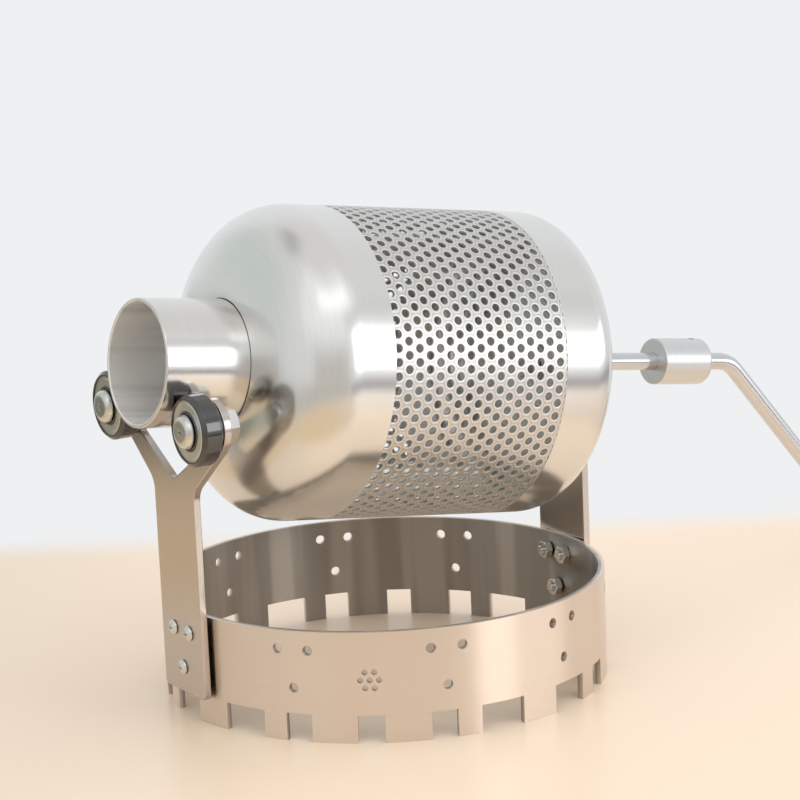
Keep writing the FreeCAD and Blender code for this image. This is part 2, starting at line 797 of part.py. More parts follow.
def grip_fittings():
    """The washers at both ends of the grip and the cap nut on the rod's end."""
    near, depth = grip_profile()
    far = near + grip_length + grip_side_gap
    bore = SHAFT_R + bore_clearance
    r = grip_washer_diameter / 2
    inner = tube(near - grip_side_gap - grip_washer_thickness, near - grip_side_gap, r, bore)
    outer = tube(far, far + grip_washer_thickness, r, bore)
    nut_start = far + grip_washer_thickness
    nut = hexagon_nut(nut_start, cap_nut_height, cap_nut_flats, bore)
    dome_start = nut_start + cap_nut_height
    dome = dome_head(dome_start, cap_nut_dome_diameter / 2, cap_nut_dome, 1)
    return {"grip_washers": shifted(Part.Compound([inner, outer]), 0, depth),
            "grip_cap_nut": shifted(nut.fuse(dome), 0, depth)}


def all_nodes():
    """Every node of the roaster, by name, in its place."""
    nodes = {"stand_ring": stand_ring(), "front_upright": front_upright(), "rear_upright": rear_upright(),
             "front_upright_screws": upright_screws(True), "front_upright_nuts": upright_nuts(True),
             "rear_upright_screws": upright_screws(False), "rear_upright_nuts": upright_nuts(False)}
    for side in (1, -1):
        nodes.update(roller_nodes(side))
    turning = {"neck_tube": neck_tube(), "front_dome": front_dome(), "perforated_sheet": perforated_sheet(),
               "rear_cap": rear_cap(), "mixing_vanes": mixing_vanes(), "coupling_collar": coupling_collar(),
               "coupling_set_screws": set_screws(), "crank_rod": crank_rod(), "wooden_grip": wooden_grip()}
    turning.update(shaft_nodes())
    turning.update(grip_fittings())
    nodes.update({name: tilt(shape) for name, shape in turning.items()})
    return nodes


def main():
    """Writes each node to its own STEP file."""
    os.makedirs("parts", exist_ok=True)
    for name, shape in all_nodes().items():
        shape.exportStep("parts/" + name + ".step")


main()
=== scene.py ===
"""Looks of a stovetop coffee bean roaster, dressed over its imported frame.

A perforated steel drum with a neck lies on two ball bearing rollers above a notched ring stand, and
is turned by a cranked rod with a wooden grip. Sizes are in millimetres and meshes in metres. Each
sub-assembly is a class with its sizes as fields and methods that build and dress its pieces.
"""
import json
import logging
import math
from dataclasses import dataclass
from enum import Enum
from typing import Any, Callable, Sequence

import bpy
import numpy as np
from mathutils import Matrix, Vector


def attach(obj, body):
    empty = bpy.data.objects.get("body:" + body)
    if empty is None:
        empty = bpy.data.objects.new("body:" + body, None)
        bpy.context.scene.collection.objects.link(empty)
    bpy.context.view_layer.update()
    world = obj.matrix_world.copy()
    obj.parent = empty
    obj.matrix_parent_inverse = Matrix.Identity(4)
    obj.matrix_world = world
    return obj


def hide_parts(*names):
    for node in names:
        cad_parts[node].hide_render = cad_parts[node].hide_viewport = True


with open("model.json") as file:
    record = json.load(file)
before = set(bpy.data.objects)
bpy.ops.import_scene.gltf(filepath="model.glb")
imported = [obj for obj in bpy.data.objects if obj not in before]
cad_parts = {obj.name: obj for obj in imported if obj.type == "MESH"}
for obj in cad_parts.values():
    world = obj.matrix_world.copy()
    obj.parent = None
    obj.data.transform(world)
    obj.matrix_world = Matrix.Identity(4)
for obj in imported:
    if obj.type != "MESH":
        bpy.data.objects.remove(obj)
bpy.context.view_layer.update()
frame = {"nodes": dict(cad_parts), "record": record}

LOG = logging.getLogger("roaster")
MM = 0.001
Colour = tuple[float, float, float]
Place = tuple[float, float, float]
Points = np.ndarray
Faces = Sequence[np.ndarray]
Shape = tuple[Points, Faces]
# Where the drum's axis starts, in metres, and how far it tilts, in degrees
DRUM_ORIGIN = (0.0, 0.0, 0.1043)
DRUM_TILT = 7.6
# The point attribute of the perforated sheet that is 1 between its holes, where painted shade darkens the
# recessed web
WEB_SHADE = "web_shade"
# Noise cells to the metre: across and along the lines of a metal, on a metal without lines, and in
# the slow clouds on all of them
ACROSS, ALONG, EVEN, CLOUDS = 1400.0, 22.0, 300.0, 28.0
# Half the width, in millimetres, in which the inner side's finish gives way to the outer side's
SIDE_BLEND = 0.3


class Body(str, Enum):
    """The bodies that pieces ride on."""

    STAND = "root"
    DRUM = "drum"
    GRIP = "grip"


class Grain(Enum):
    """Which way the brush or the lathe left its lines on a metal."""

    ROUND_RING = "round the ring"
    ROUND_DRUM = "round the drum's axis"
    CLOUDY = "no direction"


# Shader expressions


class Field:
    """A shader value that can be reckoned with: an operator adds the Math node that it names."""

    def __init__(self, graph: "Graph", socket: bpy.types.NodeSocket) -> None:
        """Wraps an output socket of the graph."""
        self.graph = graph
        self.socket = socket

    def __add__(self, other: Any) -> "Field":
        """Sum."""
        return self.graph.math("ADD", self, other)

    __radd__ = __add__

    def __mul__(self, other: Any) -> "Field":
        """Product."""
        return self.graph.math("MULTIPLY", self, other)

    __rmul__ = __mul__

    def __sub__(self, other: Any) -> "Field":
        """Difference."""
        return self.graph.math("SUBTRACT", self, other)

    def __rsub__(self, other: Any) -> "Field":
        """Difference the other way round."""
        return self.graph.math("SUBTRACT", other, self)


class Graph:
    """The node tree of a material or of the world, and the ways to add to it."""

    def __init__(self, tree: bpy.types.NodeTree) -> None:
        """Empties the tree and keeps it."""
        self.tree = tree
        tree.nodes.clear()

    def node(self, kind: str, settings: dict[str, Any] | None = None,
             inputs: dict[str | int, Any] | None = None) -> bpy.types.Node:
        """Adds one node.

        Args:
            kind: The node's type.
            settings: Its properties, set first. The key stops holds a ramp's (place, colour) pairs.
            inputs: A value or a Field for each socket, by name or number.

        Returns:
            The node.
        """
        made = self.tree.nodes.new(kind)
        for key, value in (settings or {}).items():
            if key == "stops":
                self._stops(made.color_ramp, value)
            else:
                setattr(made, key, value)
        for key, value in (inputs or {}).items():
            if isinstance(value, Field):
                self.tree.links.new(value.socket, made.inputs[key])
            else:
                made.inputs[key].default_value = value
        return made

    @staticmethod
    def _stops(ramp: bpy.types.ColorRamp, stops: Sequence[tuple[float, Colour]]) -> None:
        """Gives a ramp its stops."""
        while len(ramp.elements) < len(stops):
            ramp.elements.new(1.0)
        for element, (place, colour) in zip(ramp.elements, stops):
            element.position = place
            element.color = (*colour, 1.0)

    def value(self, kind: str, settings: dict[str, Any] | None = None,
              inputs: dict[str | int, Any] | None = None, output: str | int = 0) -> Field:
        """One output of a new node."""
        return Field(self, self.node(kind, settings, inputs).outputs[output])

    def math(self, operation: str, *values: Any) -> Field:
        """A Math node on one, two or three values."""
        return self.value("ShaderNodeMath", {"operation": operation}, dict(enumerate(values)))

    def mix(self, share: Any, first: Any, second: Any) -> Field:
        """A colour between two colours; share 0 gives the first."""
        colours = [c if isinstance(c, Field) else (*c, 1.0) for c in (first, second)]
        return self.value("ShaderNodeMix", {"data_type": "RGBA"}, {0: share, 6: colours[0], 7: colours[1]}, 2)

    def steps(self, value: Field, low: float, high: float) -> Field:
        """A smooth step from 0 at low to 1 at high."""
        return self.value("ShaderNodeMapRange", {"interpolation_type": "SMOOTHSTEP"},
                          {0: value, 1: low, 2: high, 3: 0.0, 4: 1.0})

    def noise(self, vector: Field, scale: float, detail: float = 2.0, rough: float = 0.5) -> Field:
        """Noise between 0 and 1 at a place."""
        return self.value("ShaderNodeTexNoise", None,
                          {"Vector": vector, "Scale": scale, "Detail": detail, "Roughness": rough})

    def place(self, origin: Place = (0.0, 0.0, 0.0), turn: float = 0.0) -> Field:
        """Object coordinates in metres, in a frame that stands at origin, turned about Y.

        Args:
            origin: The frame's place in metres.
            turn: The frame's turn about Y in degrees.

        Returns:
            The coordinates.
        """
        source = self.value("ShaderNodeTexCoord", output="Object")
        return self.value("ShaderNodeMapping", {"vector_type": "TEXTURE"},
                          {"Vector": source, "Location": origin, "Rotation": (0.0, math.radians(turn), 0.0)})

    def parts(self, vector: Field) -> tuple[Field, Field, Field]:
        """The X, Y and Z of a vector."""
        made = self.node("ShaderNodeSeparateXYZ", None, {0: vector})
        return tuple(Field(self, output) for output in made.outputs)

    def vector(self, x: Any, y: Any, z: Any) -> Field:
        """A vector from three values."""
        return self.value("ShaderNodeCombineXYZ", None, {0: x, 1: y, 2: z})

    def bump(self, height: Field, strength: float, distance: float) -> Field:
        """A normal that a height field in metres leans."""
        return self.value("ShaderNodeBump", None,
                          {"Height": height, "Strength": strength, "Distance": distance})


def new_material(name: str) -> tuple[bpy.types.Material, Graph]:
    """An empty node material and its graph."""
    material = bpy.data.materials.new(name)
    material.use_nodes = True
    return material, Graph(material.node_tree)


def surface(graph: Graph, inputs: dict[str, Any]) -> None:
    """Ends a graph in one Principled shader with these inputs."""
    shader = graph.value("ShaderNodeBsdfPrincipled", None, inputs)
    graph.node("ShaderNodeOutputMaterial", None, {"Surface": shader})


@dataclass(frozen=True)
class Metal:
    """A bare or blackened metal with the lines that its making left.

    The colour and the roughness swing with lines of noise stretched along the grain, and with slow
    clouds over them. The same lines lean the normal a little. What lies nearer to the axis of the
    ring or the drum than inside, in millimetres, is an inner side: it has a painted colour of its own,
    painted shade inside the ring and painted light inside the neck, with painted reflection streaks
    along the axis. Where the sheet's web attribute is 1 the metal takes a darker colour, painted shade
    in the recessed web between the holes.
    """

    slot: str
    colour: Colour
    roughness: float
    grain: Grain
    line_swing: float
    cloud_swing: float
    tint_swing: float
    line_depth: float = 0.0
    anisotropy: float = 0.0
    anisotropy_turn: float = 0.0
    metallic: float = 1.0
    ior: float = 1.5
    inside: float = 0.0
    inside_painted_colour: Colour = (0.5, 0.5, 0.5)
    inside_roughness: float = 0.4
    inside_metallic: float = 1.0
    painted_streak_dim: float = 0.8
    web_shade_colour: Colour | None = None
    name: str = ""

    def _round(self, graph: Graph) -> tuple[Field, Field, Field]:
        """Two coordinates across the axis of the ring or the drum, and the one along it."""
        if self.grain is Grain.ROUND_RING:
            return graph.parts(graph.place())
        x, y, z = graph.parts(graph.place(DRUM_ORIGIN, DRUM_TILT))
        return y, z, x

    def _stretched(self, graph: Graph) -> Field:
        """Coordinates squeezed across the grain, in line widths."""
        if self.grain is Grain.CLOUDY:
            return graph.vector(*(part * EVEN for part in graph.parts(graph.place())))
        a, b, along = self._round(graph)
        if self.grain is Grain.ROUND_RING:
            return graph.vector(a * ALONG, b * ALONG, along * ACROSS)
        radius = graph.math("SQRT", a * a + b * b)
        return graph.vector(along * ACROSS, radius * ACROSS, a * ALONG)

    def _outside(self, graph: Graph) -> Field:
        """1 on the outer side of a ring or tube and 0 on its inner side, by distance from its axis."""
        a, b, _ = self._round(graph)
        far = graph.math("SQRT", a * a + b * b)
        return graph.steps(far, (self.inside - SIDE_BLEND) * MM, (self.inside + SIDE_BLEND) * MM)

    def _painted_streaks(self, graph: Graph) -> Field:
        """Noise drawn out along the axis of a ring or tube, for the painted reflection streaks of its inner
        side.
        """
        a, b, along = self._round(graph)
        if self.grain is Grain.ROUND_RING:
            return graph.noise(graph.vector(a * 110.0, b * 110.0, along * 6.0), 1.0)
        return graph.noise(graph.vector(along * 9.0, a * 210.0, b * 210.0), 1.0)

    def material(self) -> bpy.types.Material:
        """The finished material."""
        material, graph = new_material(self.name or self.slot)
        lines = graph.noise(self._stretched(graph), 1.0, 4.0, 0.6)
        clouds = graph.noise(graph.place(), CLOUDS, 3.0)
        rough = self.roughness + (lines - 0.5) * self.line_swing + (clouds - 0.5) * self.cloud_swing
        dark = tuple(c * (1.0 - self.tint_swing) for c in self.colour)
        light = tuple(min(1.0, c * (1.0 + self.tint_swing)) for c in self.colour)
        colour = graph.mix(graph.steps(lines * 0.6 + clouds * 0.4, 0.3, 0.7), dark, light)
        metallic = self.metallic
        # Painted: the inner side's colour is painted shade inside the ring and painted light inside the neck,
        # and its streaks are painted reflections
        if self.inside:
            outside = self._outside(graph)
            painted_streak_dark = tuple(c * self.painted_streak_dim for c in self.inside_painted_colour)
            within = graph.mix(graph.steps(self._painted_streaks(graph), 0.38, 0.62), painted_streak_dark, self.inside_painted_colour)
            colour = graph.mix(outside, within, colour)
            rough = rough + (1.0 - outside) * (self.inside_roughness - self.roughness)
            if self.inside_metallic < 1.0:
                metallic = outside * (1.0 - self.inside_metallic) + self.inside_metallic
        # Painted shade: where the attribute is 1, the recessed web between the sheet's holes takes the darker
        # colour
        if self.web_shade_colour:
            web_shade = graph.value("ShaderNodeAttribute", {"attribute_name": WEB_SHADE}, output="Fac")
            colour = graph.mix(web_shade, colour, self.web_shade_colour)
        inputs = {"Base Color": colour, "Roughness": rough, "Metallic": metallic, "IOR": self.ior,
                  "Anisotropic": self.anisotropy, "Anisotropic Rotation": self.anisotropy_turn}
        if self.line_depth:
            inputs["Normal"] = graph.bump(lines, 0.6, self.line_depth * MM)
        surface(graph, inputs)
        return material


@dataclass(frozen=True)
class Wood:
    """Oiled beech turned along the grip: fine flecks along the grain over slow year rings.

    Each pair of cells says how many of the noise's cells a metre has along and across the grain.
    """

    slot: str
    pale: Colour
    deep: Colour
    roughness: float
    warp_cells: tuple[float, float] = (12.0, 60.0)
    fleck_cells: tuple[float, float] = (250.0, 2600.0)
    fleck_shade: float = 0.55
    fleck_depth: float = 0.12
    name: str = ""

    def material(self) -> bpy.types.Material:
        """The finished material."""
        material, graph = new_material(self.slot)
        x, y, z = graph.parts(graph.place(DRUM_ORIGIN, DRUM_TILT))
        warp, flecks = (
            graph.noise(graph.vector(x * along, y * across, z * across), 1.0, 3.0, rough)
            for (along, across), rough in ((self.warp_cells, 0.5), (self.fleck_cells, 0.6)))
        rings = graph.math("SINE", (y + z * 0.4) * 1500.0 + warp * 9.0)
        ground = graph.mix(rings * 0.25 + warp * 0.6 + 0.1, self.pale, self.deep)
        colour = graph.mix(graph.steps(flecks, 0.56, 0.68) * 0.45, ground,
                           tuple(c * self.fleck_shade for c in self.deep))
        surface(graph, {"Base Color": colour, "Roughness": self.roughness + (flecks - 0.5) * 0.12,
                        "Normal": graph.bump(flecks, 0.5, self.fleck_depth * MM)})
        return material


class Finishes:
    """Every finish of the roaster, each made once."""

    TABLE = (
        # The ring's steel is tinted tan, which paints the warm floor's reflection into its colour
        Metal("brushed_plate", (0.78, 0.68, 0.595), 0.33, Grain.ROUND_RING, 0.025, 0.04, 0.015, 0.00012,
              # Inside the ring, painted shade darkens the inner side and its streaks are painted reflections
              anisotropy=0.92, anisotropy_turn=0.25, inside=71.5, inside_painted_colour=(0.53, 0.485, 0.435),
              inside_roughness=0.40, painted_streak_dim=0.72),
        Metal("brushed_plate", (0.58, 0.53, 0.49), 0.22, Grain.CLOUDY, 0.03, 0.05, 0.02, name="cut_plate"),
        Metal("spun_steel", (0.785, 0.785, 0.77), 0.20, Grain.ROUND_DRUM, 0.015, 0.05, 0.02, 0.0001),
        Metal("turned_steel", (0.77, 0.755, 0.74), 0.175, Grain.ROUND_DRUM, 0.03, 0.05, 0.03, 0.0004,
              # Inside the neck, the lighter colour is painted light coming in at its mouth, and its streaks
              # are painted reflections
              inside=19.4, inside_painted_colour=(0.88, 0.875, 0.86), inside_roughness=0.42, inside_metallic=0.48),
        Metal("perforated_steel", (0.77, 0.765, 0.755), 0.40, Grain.CLOUDY, 0.08, 0.08, 0.05, 0.0015,
              # The darker second colour is painted shade in the recessed web between the holes
              web_shade_colour=(0.55, 0.545, 0.535)),
        Metal("polished_rod", (0.67, 0.68, 0.695), 0.17, Grain.CLOUDY, 0.03, 0.03, 0.03),
        Metal("satin_collar", (0.71, 0.72, 0.735), 0.36, Grain.ROUND_DRUM, 0.05, 0.05, 0.03, 0.0005),
        Metal("black_race", (0.012, 0.011, 0.014), 0.11, Grain.CLOUDY, 0.05, 0.04, 0.1, metallic=0.0,
              ior=1.95),
        Metal("bearing_steel", (0.60, 0.59, 0.56), 0.25, Grain.CLOUDY, 0.08, 0.04, 0.04),
        Metal("shield_steel", (0.66, 0.66, 0.63), 0.33, Grain.CLOUDY, 0.10, 0.05, 0.05, 0.001),
        Metal("brass_bush", (0.78, 0.60, 0.30), 0.25, Grain.CLOUDY, 0.08, 0.04, 0.04),
        Metal("zinc_fastener", (0.72, 0.72, 0.70), 0.24, Grain.CLOUDY, 0.08, 0.05, 0.05, 0.001),
        Metal("dark_set_screw", (0.06, 0.06, 0.06), 0.35, Grain.CLOUDY, 0.08, 0.05, 0.1),
        Wood("beech_grip", (0.62, 0.38, 0.20), (0.45, 0.24, 0.11), 0.42),
    )

    def __init__(self) -> None:
        """Makes every material."""
        self.made = {finish.name or finish.slot: finish.material() for finish in self.TABLE}
        self.slots = {finish.name or finish.slot: finish.slot for finish in self.TABLE}

    def __getitem__(self, name: str) -> bpy.types.Material:
        """The material of a finish."""
        return self.made[name]


# Shapes


@dataclass(frozen=True)
class Placement:
    """Where a piece's own frame stands: turned about Y, then moved."""

    origin: Place = (0.0, 0.0, 0.0)
    turn: float = 0.0

    def apply(self, points: Points) -> Points:
        """Points of the piece's frame, in the object's frame."""
        c, s = math.cos(math.radians(self.turn)), math.sin(math.radians(self.turn))
        x, y, z = points[..., 0], points[..., 1], points[..., 2]
        return np.stack([x * c + z * s, y, z * c - x * s], -1) + np.array(self.origin)


ON_STAND = Placement()
ON_DRUM = Placement((0.0, 0.0, DRUM_ORIGIN[2] / MM), DRUM_TILT)


def rounded(corners: Sequence[Sequence[float]], steps: int = 5, support: float = 0.04) -> np.ndarray:
    """A closed outline whose corners are rounded.

    Each corner (a, b, radius) becomes an arc that touches both of its sides, and a point just past
    each end of the arc keeps the flat sides flat when they are shaded smooth.

    Args:
        corners: The corners in order, each with its radius. A radius of 0 keeps the corner.
        steps: How many spans an arc has.
        support: How far past the arc's ends the extra points stand.

    Returns:
        The outline's points, of shape (n, 2).
    """
    out = []
    count = len(corners)
    for k, (a, b, radius) in enumerate(corners):
        here = np.array([a, b])
        back = np.array(corners[k - 1][:2]) - here
        ahead = np.array(corners[(k + 1) % count][:2]) - here
        room = min(np.linalg.norm(back), np.linalg.norm(ahead))
        back, ahead = back / np.linalg.norm(back), ahead / np.linalg.norm(ahead)
        half = math.acos(float(np.clip(back @ ahead, -1, 1))) / 2
        if radius <= 0 or half > math.pi / 2 - 1e-3:
            out.append(here[None])
            continue
        run = radius / math.tan(half)
        bisector = (back + ahead) / np.linalg.norm(back + ahead)
        centre = here + bisector * radius / math.sin(half)
        start = here + back * run - centre
        end = here + ahead * run - centre
        swing = math.atan2(start[0] * end[1] - start[1] * end[0], float(start @ end))
        angle = math.atan2(start[1], start[0]) + np.linspace(0.0, swing, steps + 1)
        arc = centre + radius * np.stack([np.cos(angle), np.sin(angle)], -1)
        pad = min(support, 0.2 * max(room - run, 0.0))
        lead = [(arc[0] + back * pad)[None]] if pad > 1e-4 else []
        tail = [(arc[-1] + ahead * pad)[None]] if pad > 1e-4 else []
        out += lead + [arc] + tail
    return np.concatenate(out)


def grid_faces(rows: int, columns: int, wrap_rows: bool, wrap_columns: bool) -> np.ndarray:
    """Quads of a grid of points that is stored row by row, wrapped round either way or not."""
    index = np.arange(rows * columns).reshape(rows, columns)
    if wrap_rows:
        index = np.concatenate([index, index[:1]])
    if wrap_columns:
        index = np.concatenate([index, index[:, :1]], 1)
    return np.stack([index[:-1, :-1], index[:-1, 1:], index[1:, 1:], index[1:, :-1]], -1).reshape(-1, 4)


def angles(sides: int) -> np.ndarray:
    """Even angles once round."""
    return np.linspace(0.0, 2 * math.pi, sides, endpoint=False)


def about_x(x: Any, r: Any, t: np.ndarray) -> Points:
    """Points round the X axis: x as given, y = r cos t and z = r sin t."""
    return np.stack(np.broadcast_arrays(x, r * np.cos(t), r * np.sin(t)), -1)


def arc(x: float, r: float, radius: float, start: float, end: float, count: int) -> np.ndarray:
    """Points of an arc round the centre (x, r) from one angle to another, by cosine and sine."""
    t = np.linspace(start, end, count)
    return np.stack([x + radius * np.cos(t), r + radius * np.sin(t)], -1)


def spin(profile: np.ndarray, sides: int = 128) -> Shape:
    """A closed outline (x, r) turned about X: y = r cos t and z = r sin t."""
    points = about_x(profile[:, :1], profile[:, 1:], angles(sides))
    return points.reshape(-1, 3), [grid_faces(len(profile), sides, True, True)]


def tube(x0: float, x1: float, bore: float, outer: float, edges: Sequence[float], steps: int = 4,
         sides: int = 96) -> Shape:
    """A tube about X with rounded edges.

    Args:
        x0: X of its near end.
        x1: X of its far end.
        bore: Its inner radius.
        outer: Its outer radius.
        edges: The edges' radii: bore and outside at x0, then outside and bore at x1.
        steps: How many spans an edge has.
        sides: How many sides the tube has.

    Returns:
        Points and faces.
    """
    corners = ((x0, bore), (x0, outer), (x1, outer), (x1, bore))
    return spin(rounded([(*corner, edge) for corner, edge in zip(corners, edges)], steps), sides)


def with_poles(rows: Points, first: float, last: float) -> Shape:
    """Rows of points round the X axis with a wall between them, and a pole on the axis at either end.

    Args:
        rows: The points, of shape (rows, sides, 3).
        first: X of the pole that closes the first row.
        last: X of the pole that closes the last row.

    Returns:
        Points and faces.
    """
    count, sides = rows.shape[:2]
    pole, end = count * sides, (count - 1) * sides
    ring = np.arange(sides)
    ahead = np.roll(ring, -1)
    caps = np.concatenate([np.stack([np.full(sides, pole), ahead, ring], -1),
                           np.stack([np.full(sides, pole + 1), end + ring, end + ahead], -1)])
    points = np.concatenate([rows.reshape(-1, 3), [[first, 0.0, 0.0], [last, 0.0, 0.0]]])
    return points, [grid_faces(count, sides, False, True), caps]


def with_ends(rows: Points) -> Shape:
    """Rows of points, shaped (rows, sides, 3), with a wall between them and a flat face at either end."""
    count, sides = rows.shape[:2]
    ring = np.arange(sides)[None]
    return rows.reshape(-1, 3), [grid_faces(count, sides, False, True), ring[:, ::-1],
                                 (count - 1) * sides + ring]


def spin_solid(profile: Sequence[Sequence[float]], sides: int = 96) -> Shape:
    """An outline (x, r) whose two ends lie on the X axis, turned about it; the ends are poles."""
    line = np.asarray(profile, float)
    return with_poles(about_x(line[1:-1, :1], line[1:-1, 1:], angles(sides)), line[0, 0], line[-1, 0])


def outwards(shape: Shape) -> Shape:
    """A closed surface whose faces point outwards; they are turned where its volume is negative."""
    points, faces = shape
    volume = 0.0
    for block in faces:
        for k in range(1, block.shape[1] - 1):
            a, b, c = points[block[:, 0]], points[block[:, k]], points[block[:, k + 1]]
            volume += float(np.einsum("ij,ij->i", a, np.cross(b, c)).sum())
    return points, [block[:, ::-1] for block in faces] if volume < 0 else faces


def joined(shapes: Sequence[Shape]) -> Shape:
    """Several closed surfaces as one, each turned to point outwards."""
    points, faces, count = [], [], 0
    for part_points, part_faces in map(outwards, shapes):
        points.append(part_points)
        faces += [block + count for block in part_faces]
        count += len(part_points)
    return np.concatenate(points), faces


def linked(name: str, data: Any) -> bpy.types.Object:
    """A new object in the scene."""
    made = bpy.data.objects.new(name, data)
    bpy.context.scene.collection.objects.link(made)
    return made


def write_mesh(name: str, points: Points, faces: Faces, sharp: float) -> bpy.types.Mesh:
    """Puts points in millimetres and faces into a new smooth mesh in metres.

    Args:
        name: The mesh's name.
        points: The points, of shape (n, 3).
        faces: Arrays of corner numbers, each of shape (faces, corners).
        sharp: The angle in degrees past which an edge is sharp.

    Returns:
        The mesh.
    """
    mesh = bpy.data.meshes.new(name)
    corners = np.concatenate([block.ravel() for block in faces]).astype(np.int32)
    sizes = np.concatenate([np.full(len(block), block.shape[1]) for block in faces])
    starts = np.concatenate([[0], np.cumsum(sizes)[:-1]]).astype(np.int32)
    mesh.vertices.add(len(points))
    mesh.vertices.foreach_set("co", (points * MM).astype(np.float32).ravel())
    mesh.loops.add(len(corners))
    mesh.loops.foreach_set("vertex_index", corners)
    mesh.polygons.add(len(sizes))
    mesh.polygons.foreach_set("loop_start", starts)
    mesh.update(calc_edges=True)
    mesh.validate()
    mesh.polygons.foreach_set("use_smooth", np.ones(len(mesh.polygons), bool))
    mesh.set_sharp_from_angle(angle=math.radians(sharp))
    return mesh


def plate(outline: np.ndarray, x0: float, thickness: float, edge: float = 0.25) -> Shape:
    """A flat plate in the YZ plane: its outline carried along X, with rounded edges.

    Args:
        outline: The outline's points (y, z).
        x0: X of the near face.
        thickness: How far the plate goes along X.
        edge: Radius of the edges.

    Returns:
        Points and faces.
    """
    step = np.roll(outline, -1, 0) - np.roll(outline, 1, 0)
    normal = np.stack([step[:, 1], -step[:, 0]], -1)
    normal /= np.linalg.norm(normal, axis=1)[:, None]
    following = np.roll(outline, -1, 0)
    area = float(np.sum(outline[:, 0] * following[:, 1] - following[:, 0] * outline[:, 1]))
    inwards = -normal * math.copysign(1.0, area)
    turn = np.linspace(0.0, math.pi / 2, 4)
    levels = [(2.2 * edge, 0.0), *zip(edge * (1 - np.sin(turn)), edge * (1 - np.cos(turn))),
              (0.0, 1.3 * edge)]
    sides = [(x0 + depth, inset) for inset, depth in levels]
    sides += [(x0 + thickness - depth, inset) for inset, depth in reversed(levels)]
    return with_ends(np.stack([np.column_stack([np.full(len(outline), x), outline + inwards * inset])
                               for x, inset in sides]))


def hexagon(x0: float, height: float, flats: float, bore: float, sides: int = 72) -> Shape:
    """A hexagon nut along X: at each angle t its side stands at half the flats over the cosine of the
    angle from the nearest flat's middle, and a 30 degree cone takes its corners off at both ends."""
    flare = 0.25
    t = angles(sides)
    side = flats / 2 / np.cos(np.mod(t, math.pi / 3) - math.pi / 6)
    cone = 0.49 * flats
    drop = np.maximum(side - cone, 0.0) * math.tan(math.radians(30))
    half = [(flare, bore), (0.0, bore + flare), (0.0, cone), (drop, side)]
    rings = [about_x(x0 + x, r, t) for x, r in half]
    rings += [about_x(x0 + height - x, r, t) for x, r in reversed(half)]
    return np.concatenate(rings), [grid_faces(len(rings), sides, True, True)]


def screw_head(x_face: float, radius: float, height: float, out: float, cross: float, depth: float,
               fall: float) -> Shape:
    """A low domed head with a small cross in its middle.

    The top falls with a power of the radius. Where the point lies in either arm of the cross it is
    sunk by the depth, with a soft edge. The rim is undercut towards the seat.

    Args:
        x_face: X of the head's flat face.
        radius: The head's radius.
        height: The head's height.
        out: Which way along X the head stands, +1 or -1.
        cross: Length of the cross's arms from tip to tip.
        depth: How deep the cross is.
        fall: The power of the radius with which the top falls: 2 is a dome, more is flatter.

    Returns:
        Points and faces.
    """
    t = angles(96)
    rim, brink = 0.35 * height, 0.93
    arm, arm_half, soft = cross / 2, 0.125 * cross, 0.06 * cross
    share = np.concatenate([np.linspace(0.02, 1.3 * arm / radius, 18),
                            np.linspace(1.5 * arm / radius, brink, 16), [0.955, 0.98, 1.0]])[:, None]
    _, y, z = np.moveaxis(about_x(0.0, share * radius, t), -1, 0)
    lift = rim + (height - rim) * (1 - share ** fall)
    lift = lift - np.clip((share - brink) / (1.0 - brink), 0, 1) ** 2 * 0.12 * height

    def inside(a: np.ndarray, b: np.ndarray) -> np.ndarray:
        """How far a point is inside the arm along a, from 0 to 1."""
        return np.clip((arm - np.abs(a)) / soft, 0, 1) * np.clip((arm_half - np.abs(b)) / soft, 0, 1)

    lift = lift - depth * np.maximum(inside(y, z), inside(z, y))
    under = [about_x(x_face + out * level * height, reach * radius, t)
             for level, reach in ((0.17, 1.0), (0.13, 0.985), (0.0, 0.86))]
    rows = np.concatenate([np.stack([x_face + out * lift, y, z], -1), np.stack(under)])
    return with_poles(rows, x_face + out * (height - depth), x_face)


@dataclass(frozen=True)
class Screw:
    """A screw along X with a low head, and the nut on it."""

    radius: float
    chamfer: float
    head_radius: float
    head_height: float
    cross_size: float
    cross_depth: float
    head_fall: float
    nut_flats: float
    nut_height: float
    sides: int

    def solid(self, face: float, tip: float) -> Shape:
        """The screw, its head on a face and its shank from there to its tip."""
        way, r, q = math.copysign(1.0, tip - face), self.radius, self.chamfer
        head = screw_head(face, self.head_radius, self.head_height, -way, self.cross_size,
                          self.cross_depth, self.head_fall)
        shank = [[face, 0], [face, r], [tip - way * q, r], [tip, r - q], [tip, 0]]
        return joined([head, spin_solid(shank, self.sides)])

    def nut(self, x0: float) -> Shape:
        """The nut, from x0 on."""
        return hexagon(x0, self.nut_height, self.nut_flats, self.radius)


def moved(shape: Shape, y: float, z: float) -> Shape:
    """A shape moved across its axis."""
    return shape[0] + np.array([0.0, y, z]), shape[1]


def carved(target: bpy.types.Object, cutters: Shape, bevel: float) -> None:
    """Cuts closed shapes out of a piece, breaks its sharp edges, and keeps the result as its mesh.

    Args:
        target: The piece.
        cutters: The shapes to cut away.
        bevel: Width of the broken edges in millimetres.
    """
    tool = linked("cutters", write_mesh("cutters", *cutters, 30.0))
    cut = target.modifiers.new("cut", "BOOLEAN")
    cut.operation = "DIFFERENCE"
    cut.solver = "EXACT"
    cut.use_self = True
    cut.object = tool
    edge = target.modifiers.new("edge", "BEVEL")
    edge.width = bevel * MM
    edge.segments = 1
    edge.limit_method = "ANGLE"
    edge.angle_limit = math.radians(38)
    bpy.context.view_layer.update()
    ready = target.evaluated_get(bpy.context.evaluated_depsgraph_get())
    old, target.data = target.data, bpy.data.meshes.new_from_object(ready)
    target.modifiers.clear()
    bpy.data.meshes.remove(old)
    bpy.data.objects.remove(tool)


def stored(items: Any, key: str, kind: type, width: int) -> np.ndarray:
    """A property of all of a mesh's items, in rows of that width."""
    values = np.zeros(len(items) * width, kind)
    items.foreach_get(key, values)
    return values.reshape(-1, width)


